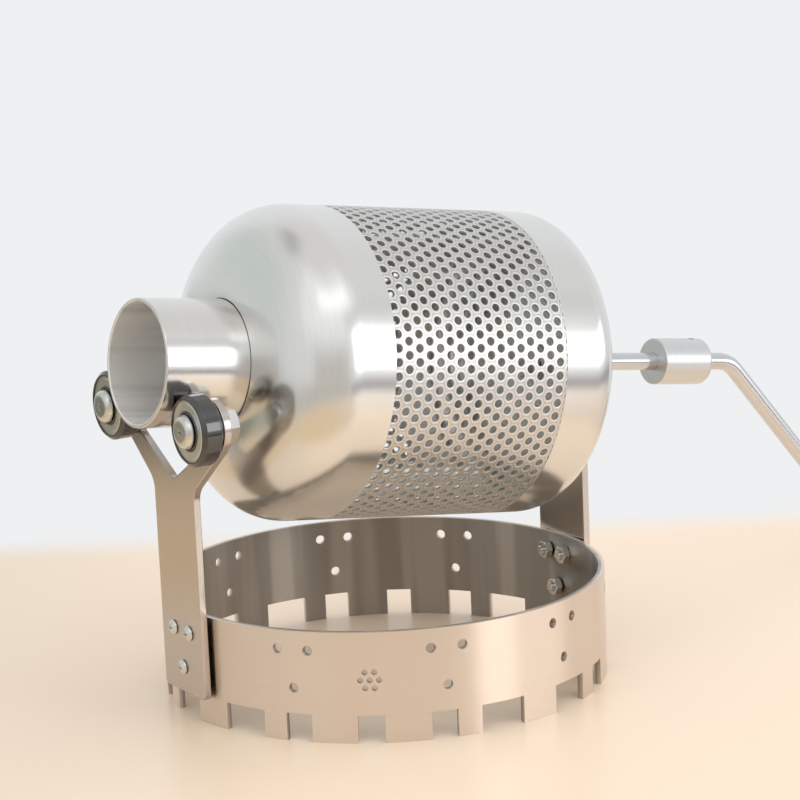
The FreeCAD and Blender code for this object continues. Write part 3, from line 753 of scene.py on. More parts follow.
def smooth_walls(mesh: bpy.types.Mesh, away: Callable[[Points], Points]) -> None:
    """Shades the faces that follow a curved wall by the wall's own normals, and the rest flat.

    Args:
        mesh: The mesh, in metres.
        away: Gives the wall's outward unit normals at points.
    """
    size = stored(mesh.polygons, "loop_total", np.int32, 1)[:, 0]
    corner = stored(mesh.loops, "vertex_index", np.int32, 1)[:, 0]
    face_normal = stored(mesh.polygons, "normal", float, 3)[np.repeat(np.arange(len(size)), size)]
    wall = away(stored(mesh.vertices, "co", float, 3)[corner])
    along = np.einsum("ij,ij->i", wall, face_normal)
    normals = np.where(np.abs(along)[:, None] > 0.97, wall * np.sign(along)[:, None], face_normal)
    mesh.polygons.foreach_set("use_smooth", np.ones(len(size), bool))
    mesh.normals_split_custom_set(normals.tolist())


@dataclass
class Bench:
    """Where finished meshes become pieces of the object."""

    finishes: Finishes

    def piece(self, name: str, shape: Shape, finish: str, body: str, nodes: Sequence[str],
              placement: Placement = ON_STAND, sharp: float = 40.0) -> bpy.types.Object:
        """Makes one piece, dresses it and hands it to its body.

        Args:
            name: The piece's name.
            shape: Its points in its own frame, in millimetres, and its faces.
            finish: The finish it takes.
            body: The body it rides on.
            nodes: The solids it stands for.
            placement: Where its frame stands.
            sharp: The angle in degrees past which an edge is sharp.

        Returns:
            The object.
        """
        points, faces = outwards(shape)
        made = linked(name, write_mesh(name, placement.apply(points), faces, sharp))
        made.data.materials.append(self.finishes[finish])
        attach(made, body)
        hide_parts(*nodes)
        LOG.info("%s: %d faces, rides on %s", name, len(made.data.polygons), body)
        return made

    def dress_solids(self) -> None:
        """Gives every solid that stays in sight its finish."""
        slots = {entry["node"]: entry["material_slot"] for entry in frame["record"]["subparts"]}
        for node, solid in frame["nodes"].items():
            solid.data.materials.clear()
            solid.data.materials.append(self.finishes[slots[node]])
        LOG.info("dressed %d solids", len(frame["nodes"]))


# Sub-assemblies


@dataclass
class RingStand:
    """The notched ring and the screws that hold the uprights on it."""

    outer_radius: float = 72.5
    wall: float = 2.0
    height: float = 35.0
    notch_depth: float = 8.8
    narrow_notch: float = 8.4
    wide_notch: float = 15.2
    first_quarter: float = -126.0
    inner_notch_angle: float = 18.0
    outer_notch_angle: float = 33.5
    side_groups: tuple[float, ...] = (37.0, 72.0, 107.0, 145.0)
    hole_radius: float = 1.6
    rosette_ring: float = 2.9
    rosette_hole: float = 0.95
    rosette_height: float = 20.0
    upper_holes: float = 29.0
    lower_hole: float = 17.0
    half_pair: float = 5.0
    upright_thickness: float = 2.5
    screw: Screw = Screw(1.5, 0.3, 2.45, 1.7, 2.4, 0.8, 2.0, 5.5, 2.4, 32)
    screw_tail: float = 1.2
    cutter_reach: float = 6.0
    edge_break: float = 0.18

    def screw_places(self) -> list[tuple[float, float]]:
        """Y and Z of the three screws of an upright."""
        return [(self.half_pair, self.upper_holes), (-self.half_pair, self.upper_holes),
                (0.0, self.lower_hole)]

    def _across_wall(self) -> tuple[float, float]:
        """From where to where along the radius a cutter goes, to pass through the wall."""
        middle = self.outer_radius - self.wall / 2
        return middle - self.cutter_reach, middle + self.cutter_reach

    @staticmethod
    def _turned(shape: Shape, angle: float) -> Shape:
        """A shape turned about Z."""
        c, s = math.cos(math.radians(angle)), math.sin(math.radians(angle))
        x, y, z = shape[0].T
        return np.stack([x * c - y * s, x * s + y * c, z], -1), shape[1]

    def _post(self, angle: float, y: float, z: float, radius: float) -> Shape:
        """A round cutter through the wall, parallel to the radius at an angle."""
        a, b = self._across_wall()
        post = spin_solid([[a, 0], [a, radius], [b, radius], [b, 0]], 28)
        return self._turned(moved(post, y, z), angle)

    def _slot(self, angle: float, width: float) -> Shape:
        """A square cutter for one notch."""
        corners = np.array([[x, y, z] for x in self._across_wall() for y in (-width / 2, width / 2)
                            for z in (-3.0, self.notch_depth)])
        faces = np.array([[0, 1, 3, 2], [4, 6, 7, 5], [0, 4, 5, 1], [2, 3, 7, 6], [0, 2, 6, 4], [1, 5, 7, 3]])
        return self._turned((corners, [faces]), angle)

    def _cutters(self) -> Shape:
        """Every notch and hole of the ring."""
        quarter = [(0.0, self.narrow_notch)]
        for angle, width in ((self.inner_notch_angle, self.narrow_notch),
                             (self.outer_notch_angle, self.wide_notch)):
            quarter += [(-angle, width), (angle, width)]
        shapes = [self._slot(self.first_quarter + 90 * q + a, w) for q in range(4) for a, w in quarter]
        groups = [0.0, 180.0] + [side * a for side in (-1, 1) for a in self.side_groups]
        shapes += [self._post(a, y, z, self.hole_radius) for a in groups for y, z in self.screw_places()]
        petals = [(0.0, 0.0), *arc(0.0, 0.0, self.rosette_ring, 0.0, math.radians(300), 6)]
        shapes += [self._post(self.first_quarter, y, self.rosette_height + z, self.rosette_hole)
                   for y, z in petals]
        return joined(shapes)

    def build_ring(self, bench: Bench) -> None:
        """The ring: a square section turned about Z, with its notches and holes cut out."""
        r0, r1, h = self.outer_radius - self.wall, self.outer_radius, self.height
        points, faces = spin(np.array([[0, r0], [0, r1], [h, r1], [h, r0]]), 360)
        ring = bench.piece("notched_ring", (np.roll(points, -1, 1), faces), "brushed_plate", Body.STAND,
                           ["stand_ring"])
        carved(ring, self._cutters(), self.edge_break)

        def radial(places: Points) -> Points:
            """Unit vectors away from the Z axis."""
            flat = places * np.array([1.0, 1.0, 0.0])
            return flat / np.linalg.norm(flat, axis=1)[:, None]

        smooth_walls(ring.data, radial)

    def build_fasteners(self, bench: Bench) -> None:
        """Screws and nuts of both uprights."""
        inner = self.outer_radius - self.wall
        seat = math.sqrt(inner ** 2 - (self.half_pair + self.screw.nut_flats / math.sqrt(3)) ** 2)
        low = seat - self.screw.nut_height
        face = self.outer_radius + self.upright_thickness
        for out, label in ((-1.0, "front"), (1.0, "rear")):
            screw = self.screw.solid(out * face, out * (low - self.screw_tail))
            nut = self.screw.nut(min(out * seat, out * low))
            for kind, shape, sharp in (("screws", screw, 40.0), ("nuts", nut, 25.0)):
                group = joined([moved(shape, y, z) for y, z in self.screw_places()])
                bench.piece(f"{label}_plate_{kind}", group, "zinc_fastener", Body.STAND,
                            [f"{label}_upright_{kind}"], sharp=sharp)


@dataclass
class Uprights:
    """The forked plate under the neck and the slotted plate under the shaft."""

    front_x: float = -75.0
    rear_x: float = 72.5
    thickness: float = 2.5
    width: float = 25.5
    foot: float = 8.8
    corner: float = 1.5
    lug_radius: float = 9.0
    arm_lean: float = 51.0
    gap_lean: float = 59.0
    gap_floor: float = 78.2
    gap_radius: float = 4.0
    notch_radius: float = 1.5
    shoulder_radius: float = 7.0
    roller_y: float = 26.611
    roller_z: float = 98.005
    slot_radius: float = 3.264
    slot_centre: float = 94.459
    top_margin: float = 8.5
    nearly_round: float = 0.995
    prong_round: float = 0.87

    @staticmethod
    def _meeting(a: np.ndarray, da: np.ndarray, b: np.ndarray, db: np.ndarray) -> np.ndarray:
        """Where the line through a along da meets the line through b along db."""
        cross = da[0] * db[1] - da[1] * db[0]
        t = ((b[0] - a[0]) * db[1] - (b[1] - a[1]) * db[0]) / cross
        return a + t * da

    def _fork_outline(self) -> np.ndarray:
        """The fork's outline: straight sides, leaning arms with round lugs, and a gap between."""
        lean, gap = math.radians(self.arm_lean), math.radians(self.gap_lean)
        along = np.array([math.sin(lean), math.cos(lean)])
        across = np.array([-math.cos(lean), math.sin(lean)])
        centre = np.array([self.roller_y, self.roller_z])
        r = self.lug_radius
        outer = centre - r * across
        shoulder = self._meeting(outer, along, np.array([self.width / 2, 0.0]), np.array([0.0, 1.0]))
        tip = outer + r * along
        top = tip + 2 * r * across
        back = top - 2 * r * along
        floor = np.array([0.0, self.gap_floor - self.gap_radius * (1 / math.sin(gap) - 1)])
        notch = self._meeting(floor, np.array([math.sin(gap), math.cos(gap)]), back, -across)
        lug = self.nearly_round * r
        half = [(*shoulder, self.shoulder_radius), (*tip, lug), (*top, lug), (*back, lug),
                (*notch, self.notch_radius)]
        corners = [(-self.width / 2, self.foot, self.corner), (self.width / 2, self.foot, self.corner)]
        corners += half + [(*floor, self.gap_radius)] + [(-y, z, q) for y, z, q in reversed(half)]
        return rounded(corners, 12)

    def _slot_outline(self) -> np.ndarray:
        """The rear plate's outline with its open round-bottomed slot."""
        half = self.width / 2
        top = self.slot_centre + self.top_margin
        prong = self.prong_round * (half - self.slot_radius) / 2
        r, c = self.slot_radius, self.slot_centre
        floor = self.nearly_round * r
        right = [(half, self.foot, self.corner), (half, top, prong), (r, top, prong), (r, c - r, floor)]
        left = [(-y, z, q) for y, z, q in reversed(right)]
        return rounded([left[-1], *right, *left[:-1]], 12)

    def build(self, bench: Bench) -> None:
        """Both plates."""
        for name, outline, x, node in (("fork_plate", self._fork_outline(), self.front_x, "front_upright"),
                                       ("slot_plate", self._slot_outline(), self.rear_x, "rear_upright")):
            bench.piece(name, plate(outline, x, self.thickness), "cut_plate", Body.STAND, [node])


@dataclass
class Rollers:
    """The two ball bearings under the neck, with their screws."""

    near_x: float = -83.0
    far_x: float = -76.0
    centre_y: float = 26.611
    centre_z: float = 98.005
    radius: float = 11.0
    chamfer: float = 1.1
    outer_bore: float = 9.4
    inner_radius: float = 6.1
    bore: float = 4.0
    shield_recess: float = 0.25
    shield_thickness: float = 0.3
    shield_gap: float = 0.15
    shield_inset: float = 0.04
    shield_step: float = 0.75
    shield_lift: float = 0.16
    washer: float = 1.0
    washer_radius: float = 5.8
    screw: Screw = Screw(3.0, 0.5, 5.25, 2.6, 2.3, 1.0, 9.0, 10.0, 5.0, 64)
    plate_far: float = -72.5
    tail: float = 1.2

    def _shield(self, face: float, inwards: float) -> Shape:
        """One pressed shield: a flat ring with a low step near its rim."""
        a, b = self.inner_radius + self.shield_gap, self.outer_bore - self.shield_inset
        step = b - self.shield_step
        x0, t = face + inwards * self.shield_recess, inwards * self.shield_thickness
        lift = x0 + inwards * self.shield_lift
        return spin(rounded([(x0, a, 0.06), (x0, step - 0.1, 0.05), (lift, step + 0.1, 0.05),
                             (lift, b, 0.04), (x0 + t, b, 0.04), (x0 + t, a, 0.04)], 3, 0.02), 96)

    def _race(self) -> Shape:
        """The outer race: a ring with broad chamfers on its tread."""
        x0, x1, r, c = self.near_x, self.far_x, self.radius, self.chamfer
        return spin(rounded([(x0, self.outer_bore, 0.2), (x0, r - c, 0.25), (x0 + c, r, 0.5),
                             (x1 - c, r, 0.5), (x1, r - c, 0.25), (x1, self.outer_bore, 0.2)], 4), 160)

    def build(self, bench: Bench) -> None:
        """Both rollers, piece by piece."""
        x0, x1, r = self.near_x, self.far_x, self.screw.radius
        end = self.plate_far + self.screw.nut_height + self.tail
        shapes = (
            ("tread_ring", self._race(), "black_race", "outer_race"),
            ("shield_pair", joined([self._shield(x0, 1.0), self._shield(x1, -1.0)]), "shield_steel",
             "bearing_shields"),
            # The inner race takes the tread's black finish, which paints the shade that falls round the screw
            # head
            ("core_ring", tube(x0, x1, self.bore, self.inner_radius, (0.3, 0.3, 0.3, 0.3), 3), "black_race",
             "inner_race"),
            ("axle_screw", self.screw.solid(x0, end), "zinc_fastener", "roller_screw"),
            ("spacer", tube(x1, x1 + self.washer, r + 0.2, self.washer_radius, (0.1, 0.2, 0.2, 0.1), 3),
             "zinc_fastener", "roller_washer"),
            ("axle_nut", self.screw.nut(self.plate_far), "zinc_fastener", "roller_nut"))
        for label, side in (("left", 1.0), ("right", -1.0)):
            for name, shape, finish, node in shapes:
                body = label + "_roller" if name in ("tread_ring", "shield_pair") else Body.STAND
                bench.piece(f"{label}_{name}", moved(shape, side * self.centre_y, self.centre_z), finish,
                            body, [f"{label}_{node}"], sharp=25.0 if name == "axle_nut" else 40.0)


@dataclass
class Drum:
    """Neck, dome, perforated sheet and cap, all about one axis."""

    radius: float = 50.0
    wall: float = 1.0
    sheet_wall: float = 0.8
    neck_radius: float = 20.0
    neck_wall: float = 1.2
    mouth: float = -85.7
    root: float = -57.0
    neck_insert: float = 1.0
    sheet_start: float = -23.3
    sheet_end: float = 40.8
    cap_end: float = 64.4
    cap_corner: float = 11.5
    knuckle: float = 19.8
    skirt: float = 11.3
    crown: float = 48.6
    holes_around: int = 72
    hole_radius: float = 1.37
    first_row: float = 0.95
    lip: float = 0.1
    shaft_hole: float = 3.04
    root_gap: float = 0.22
    edge_break: float = 0.12
    cap_hub: float = 12.0
    cell: int = 12
    tuck: float = 0.5
    duck: float = 0.15
    # Share of the web's painted shade at the foot of each hole's lip
    ring_web_shade: float = 0.3

    def _dome_line(self, offset: float) -> np.ndarray:
        """The dome's skin from its skirt to its neck hole.

        A straight skirt, then a quarter-turn knuckle, then a crown arc that leaves the knuckle
        smoothly and ends at the neck. The offset moves the line inwards.
        """
        hub = np.array([self.sheet_start - self.skirt, self.radius - self.knuckle])
        root = np.array([self.root, self.neck_radius])
        reach = self.crown - self.knuckle
        span = float(np.linalg.norm(root - hub))
        along = (reach ** 2 - self.crown ** 2 + span ** 2) / (2 * span)
        aside = math.sqrt(reach ** 2 - along ** 2)
        u = (root - hub) / span
        across = np.array([-u[1], u[0]])
        centre = hub + along * u + aside * across
        if centre[0] < hub[0]:
            centre = hub + along * u - aside * across
        blend = math.atan2(hub[1] - centre[1], centre[0] - hub[0])
        crown_r, knuckle_r = self.crown - offset, self.knuckle - offset
        end = math.asin((self.neck_radius + self.root_gap - centre[1]) / crown_r)
        skirt = np.linspace([self.sheet_start, self.radius - offset], [hub[0], self.radius - offset], 5)
        turn = arc(*hub, knuckle_r, math.pi / 2, math.pi - blend, 40)
        face = arc(*centre, crown_r, math.pi - blend, math.pi - end, 24)
        return np.concatenate([skirt[:-1], turn, face[1:]])

    def build_dome(self, bench: Bench) -> None:
        """The dome, its edge on the sheet lightly broken."""
        e = self.edge_break
        outer, inner = self._dome_line(0.0), self._dome_line(self.wall)
        edge = outer[0] + [[0.0, -e], [-e, 0.0]]
        lip = outer[-1] + [[0.02, e], [e, 0.02]]
        profile = np.concatenate([edge, outer[1:-1], lip, inner[::-1]])
        bench.piece("spun_dome", spin(profile, 192), "spun_steel", Body.DRUM, ["front_dome"], ON_DRUM)

    def build_neck(self, bench: Bench) -> None:
        """The neck tube with a softly rounded lip."""
        neck = tube(self.mouth, self.root + self.neck_insert, self.neck_radius - self.neck_wall,
                    self.neck_radius, (0.3, 0.4, 0.0, 0.0), 5, 192)
        bench.piece("neck", neck, "turned_steel", Body.DRUM, ["neck_tube"], ON_DRUM)

    def build_cap(self, bench: Bench) -> None:
        """The pressed cap with its large round corner."""
        r, c, w, x0, x1, e = (self.radius, self.cap_corner, self.wall, self.sheet_end, self.cap_end,
                              self.edge_break)
        bore, hub = self.shaft_hole, self.shaft_hole + self.cap_hub
        outer = arc(x1 - c, r - c, c, math.pi / 2, 0.0, 32)
        inner = arc(x1 - c, r - c, c - w, 0.0, math.pi / 2, 32)
        profile = np.concatenate([[[x0, r - e], [x0 + e, r], [x0 + 0.5, r]], outer,
                                  [[x1, hub], [x1, bore], [x1 - w, bore], [x1 - w, hub]], inner,
                                  [[x0, r - w]]])
        bench.piece("pressed_cap", spin(profile, 192), "spun_steel", Body.DRUM, ["rear_cap"], ON_DRUM)

    def _hole_rings(self) -> list[tuple[float, float, float]]:
        """Radius past the hole's, depth below the skin and least cover under the joint, per ring."""
        return [(0.60, self.lip, 0.45), (0.24, 0.0, 0.40), (0.0, 0.16, 0.35), (0.0, self.sheet_wall, 0.35)]

    def _pitch(self) -> float:
        """How far apart the holes of a row are."""
        return 2 * math.pi * self.radius / self.holes_around

    def _sheet_points(self, rows: int) -> tuple[Points, np.ndarray, int]:
        """Points of the sheet: a lattice that cells share, outside and inside, then every hole's rings.

        The lattice has twelve points round a hole: the corners and edge middles of its hexagon, in
        quarter pitches round the drum and in quarters of the hexagon's side along it.

        Args:
            rows: How many rows of holes there are.

        Returns:
            The points, the lattice points of each hole, and how many lattice points there are.
        """
        u = np.array([2, 2, 1, 0, -1, -2, -2, -2, -1, 0, 1, 2])
        v = np.array([0, 2, 3, 4, 3, 2, 0, -2, -3, -4, -3, -2])
        quarter_u, quarter_v = self._pitch() / 4, self._pitch() / math.sqrt(3) / 4
        row, hole = np.meshgrid(np.arange(rows), np.arange(self.holes_around), indexing="ij")
        row, centre_u = row[..., None], (4 * hole + 2 * ((row + 1) % 2))[..., None]
        keys = np.stack([(6 * row + v).ravel(), np.mod(centre_u + u, 4 * self.holes_around).ravel()], -1)
        shared, number = np.unique(keys, axis=0, return_inverse=True)
        start = self.sheet_start + self.first_row
        s = np.clip(start + shared[:, 0] * quarter_v, self.sheet_start - self.tuck,
                    self.sheet_end + self.tuck)
        around = shared[:, 1] * quarter_u
        layers = [self._bent(s, around, self.lip), self._bent(s, around, self.sheet_wall)]
        for extra, depth, cover in self._hole_rings():
            ring = arc(0.0, 0.0, self.hole_radius + extra, 0.0, math.radians(330), self.cell)
            ring_s = np.clip(start + 6 * quarter_v * row + ring[:, 1], self.sheet_start - cover,
                             self.sheet_end + cover)
            layers.append(self._bent(ring_s.ravel(), (centre_u * quarter_u + ring[:, 0]).ravel(), depth))
        return np.concatenate(layers), number.reshape(rows, self.holes_around, self.cell), len(shared)

    def _bent(self, s: np.ndarray, around: np.ndarray, depth: float) -> Points:
        """Flat sheet places rolled onto the drum; past the joints they duck under its neighbours."""
        past = (s < self.sheet_start) | (s > self.sheet_end)
        under = self.duck * (past & (depth <= self.lip))
        return about_x(s, self.radius - depth - under, around / self.radius)

    def build_sheet(self, bench: Bench) -> None:
        """The perforated sheet: hexagon cells, each with a hole that has a low rounded lip."""
        length = self.sheet_end - self.sheet_start
        step = self._pitch() * math.sqrt(3) / 2
        rows = int((length - self.first_row + self.hole_radius) / step) + 1
        points, number, count = self._sheet_points(rows)
        outer = number.reshape(-1, self.cell)
        first, size = 2 * count, outer.size
        rings = [outer]
        rings += [first + k * size + np.arange(size).reshape(outer.shape)
                  for k in range(len(self._hole_rings()))]
        rings.append(outer + count)
        quads = [np.stack([a, np.roll(a, -1, 1), np.roll(b, -1, 1), b], -1).reshape(-1, 4)
                 for a, b in zip(rings, rings[1:])]
        quads.append(self._rims(number, count))
        wall = bench.piece("perforated_wall", (points, quads), "perforated_steel", Body.DRUM,
                           ["perforated_sheet"], ON_DRUM, sharp=55.0)
        # Painted shade of the recessed web: 1 on the web between the holes and a share at the foot of each
        # lip
        web_shade_share = np.zeros(len(points), np.float32)
        web_shade_share[:count] = 1.0
        web_shade_share[first:first + size] = self.ring_web_shade
        wall.data.attributes.new(WEB_SHADE, "FLOAT", "POINT").data.foreach_set("value", web_shade_share)

    @staticmethod
    def _rims(cells: np.ndarray, count: int) -> np.ndarray:
        """Quads that close the sheet's two end edges between its outer and inner skins."""
        chains = np.concatenate([cells[0][:, 11:6:-1], cells[-1][:, 5:0:-1]])
        a, b = chains[:, :-1].ravel(), chains[:, 1:].ravel()
        return np.stack([a, b, b + count, a + count], -1)


@dataclass
class Crank:
    """Shaft, what clamps it in the cap, coupling, bent rod and grip, all in the drum's frame."""

    shaft_radius: float = 3.0
    cap_end: float = 64.4
    cap_wall: float = 1.0
    washer: float = 1.0
    washer_radius: float = 7.0
    nut_flats: float = 10.0
    nut_height: float = 5.0
    inner_tail: float = 2.4
    collar_end: float = 72.04
    collar_radius: float = 6.0
    coupling_start: float = 114.4
    coupling_length: float = 21.0
    coupling_radius: float = 8.0
    coupling_round: float = 2.0
    coupling_chamfer: float = 0.4
    shaft_depth: float = 10.0
    rod_gap: float = 0.6
    set_screw: float = 15.5
    bore_gap: float = 0.05
    set_screw_gap: float = 0.04
    socket_radius: float = 0.75
    socket_depth: float = 1.6
    set_screw_radius: float = 1.46
    set_screw_recess: float = 0.4
    first_bend: float = 148.0
    bend_radius: float = 12.0
    arm_angle: float = 42.0
    throw: float = 48.0
    grip_start: float = 14.0
    grip_length: float = 64.0
    grip_radius: float = 11.0
    grip_end: float = 8.5
    grip_round: float = 1.5
    grip_bore: float = 3.08
    side_gap: float = 0.2
    grip_washer: float = 1.0
    grip_washer_radius: float = 6.0
    cap_nut_flats: float = 9.0
    cap_nut_height: float = 5.0
    cap_nut_dome: float = 3.0
    cap_nut_dome_radius: float = 4.2

    def _washer(self, x0: float, length: float, outer: float, edge: float = 0.2) -> Shape:
        """A plain ring on the rod, with rounded outer edges."""
        return tube(x0, x0 + length, self.shaft_radius + self.bore_gap, outer, (0.0, edge, edge, 0.0))

    def build_shaft(self, bench: Bench) -> None:
        """The shaft and its nuts, washers and thrust collar."""
        r = self.shaft_radius
        bore = r + self.bore_gap
        inner_washer = self.cap_end - self.cap_wall - self.washer
        start = inner_washer - self.nut_height - self.inner_tail
        outer_nut = self.cap_end + self.washer
        collar = outer_nut + self.nut_height
        end = self.coupling_start + self.shaft_depth
        rod = spin_solid([[start, 0], [start, r - 0.5], [start + 0.5, r], [start + 0.6, r], [end - 0.1, r],
                          [end, r], [end, 0]])
        washers = joined([self._washer(x, self.washer, self.washer_radius)
                          for x in (inner_washer, self.cap_end)])
        nuts = [hexagon(x, self.nut_height, self.nut_flats, bore)
                for x in (inner_washer - self.nut_height, outer_nut)]
        ring = self._washer(collar, self.collar_end - collar, self.collar_radius, 0.15)
        for name, shape, finish, node in (("shaft_rod", rod, "polished_rod", "drum_shaft"),
                                          ("inside_nut", nuts[0], "zinc_fastener", "shaft_inner_nut"),
                                          ("outside_nut", nuts[1], "zinc_fastener", "shaft_outer_nut"),
                                          ("cap_washers", washers, "zinc_fastener", "shaft_washers"),
                                          ("stop_collar", ring, "satin_collar", "thrust_collar")):
            bench.piece(name, shape, finish, Body.DRUM, [node], ON_DRUM, 25.0 if "nut" in name else 40.0)

    def build_coupling(self, bench: Bench) -> None:
        """The coupling with its two screw holes, and the screws in them."""
        x0, r, s = self.coupling_start, self.coupling_radius, self.set_screw_radius
        bore, x = self.shaft_radius + self.bore_gap, x0 + self.set_screw
        shape = tube(x0, x0 + self.coupling_length, bore, r,
                     (0.0, self.coupling_chamfer, self.coupling_round, 0.0), 8, 160)
        body = bench.piece("coupling", shape, "satin_collar", Body.DRUM, ["coupling_collar"], ON_DRUM)

        def stood(solid: Shape, sign: float) -> Shape:
            """A solid about X stood up at the screws' place, upwards or downwards."""
            along, y, z = solid[0].T
            return np.stack([x + y, z, sign * along], -1), solid[1]

        q = s + self.set_screw_gap
        post, faces = stood(spin_solid([[-r - 1, 0], [-r - 1, q], [r + 1, q], [r + 1, 0]], 32), 1.0)
        carved(body, joined([(ON_DRUM.apply(post), faces)]), 0.1)
        body.data.set_sharp_from_angle(angle=math.radians(32))
        top, socket = r - self.set_screw_recess, self.socket_radius
        floor = top - self.socket_depth
        pin = spin_solid([[bore, 0], [bore, s], [top - 0.15, s], [top, s - 0.15], [top, socket],
                          [floor, socket], [floor, 0]], 32)
        bench.piece("grub_screws", joined([stood(pin, 1.0), stood(pin, -1.0)]), "dark_set_screw",
                    Body.DRUM, ["coupling_set_screws"], ON_DRUM)

    def _route(self) -> np.ndarray:
        """Centre line of the rod: straight runs joined by tangent arcs in the drum's XZ plane."""
        first = np.array([self.first_bend, 0.0])
        second = first + np.array([self.throw / math.tan(math.radians(self.arm_angle)), -self.throw])
        start = self.coupling_start + self.shaft_depth + self.rod_gap
        end = self._grip_span()[1] + self.side_gap + self.grip_washer + self.cap_nut_height
        corners = [(start, 0.0, 0.0), (*first, self.bend_radius), (*second, self.bend_radius),
                   (end, -self.throw, 0.0), (0.5 * (start + end), 400.0, 0.0)]
        return rounded(corners, 24, 0.5)[:-1]

    def _grip_span(self) -> tuple[float, float]:
        """X of the grip's two ends."""
        second = self.first_bend + self.throw / math.tan(math.radians(self.arm_angle))
        near = second + self.grip_start + self.grip_washer + self.side_gap
        return near, near + self.grip_length

    def build_rod(self, bench: Bench) -> None:
        """The bent rod: a circle carried along its centre line, square to it."""
        line, t, r = self._route(), angles(64), self.shaft_radius
        ahead = np.gradient(line, axis=0)
        ahead /= np.linalg.norm(ahead, axis=1)[:, None]
        across = np.stack([-ahead[:, 1], ahead[:, 0]], -1)
        flat = line[:, None] + r * np.sin(t)[None, :, None] * across[:, None]
        points = np.stack(np.broadcast_arrays(flat[..., 0], r * np.cos(t), flat[..., 1]), -1)
        bench.piece("bent_rod", with_ends(points), "polished_rod", Body.DRUM, ["crank_rod"], ON_DRUM, 50.0)

    def build_grip(self, bench: Bench) -> None:
        """The turned grip: its radius swells as one long arc between two rounded ends."""
        near, far = self._grip_span()
        e, q, b = self.grip_end, self.grip_round, self.grip_bore
        half = (far - near) / 2 - q
        rise = self.grip_radius - e
        ball = (half ** 2 + rise ** 2) / (2 * rise)
        x = np.linspace(-half, half, 60)[1:-1]
        swell = np.stack([near + q + half + x, e + np.sqrt(ball ** 2 - x ** 2) - (ball - rise)], -1)
        profile = np.concatenate([arc(near + q, e - q, q, math.pi, math.pi / 2, 7), swell,
                                  arc(far - q, e - q, q, math.pi / 2, 0.0, 7), [[far, b], [near, b]]])
        w, start = self.grip_washer, far + self.side_gap
        washers = joined([self._washer(x, w, self.grip_washer_radius)
                          for x in (near - self.side_gap - w, start)])
        nut = hexagon(start + w, self.cap_nut_height, self.cap_nut_flats, self.shaft_radius + self.bore_gap)
        dome = start + w + self.cap_nut_height
        tip = dome + self.cap_nut_dome
        a = np.linspace(0.0, math.pi / 2, 12)[:-1]
        cap = np.concatenate([[[dome, 0.0]],
                              np.stack([dome + self.cap_nut_dome * np.sin(a),
                                        self.cap_nut_dome_radius * np.cos(a)], -1), [[tip, 0.0]]])
        for name, shape, finish, body, node, sharp in (
                ("turned_grip", spin(profile), "beech_grip", Body.GRIP, "wooden_grip", 40.0),
                ("grip_end_washers", washers, "zinc_fastener", Body.DRUM, "grip_washers", 40.0),
                ("dome_nut", joined([nut, spin_solid(cap, 72)]), "zinc_fastener", Body.DRUM,
                 "grip_cap_nut", 25.0)):
            bench.piece(name, moved(shape, 0.0, -self.throw), finish, body, [node], ON_DRUM, sharp)


# Studio


def direction(bearing: float, height: float) -> Vector:
    """The way to a bearing, counted in degrees from -Y towards X, and a height in degrees."""
    a, e = math.radians(bearing), math.radians(height)
    return Vector((math.sin(a) * math.cos(e), -math.cos(a) * math.cos(e), math.sin(e)))


@dataclass(frozen=True)
class Patch:
    """A soft-edged patch of the room, seen from the object: angles in degrees from behind the camera."""

    bearing: float
    height: float
    half_width: float
    half_height: float
    soft: float
    colour: Colour


@dataclass(frozen=True)
class Lamp:
    """A rectangular soft lamp that points at the drum.

    Its bearing and height are in degrees, seen from the drum, with the bearing from behind the camera
    and positive to its right. The distance and the size are in metres, and the glow is how bright
    its face is, where 1 is white. Polished metal shows it where it is mirrored.
    """

    name: str
    bearing: float
    height: float
    distance: float
    size: tuple[float, float]
    glow: float
    mirrored: bool


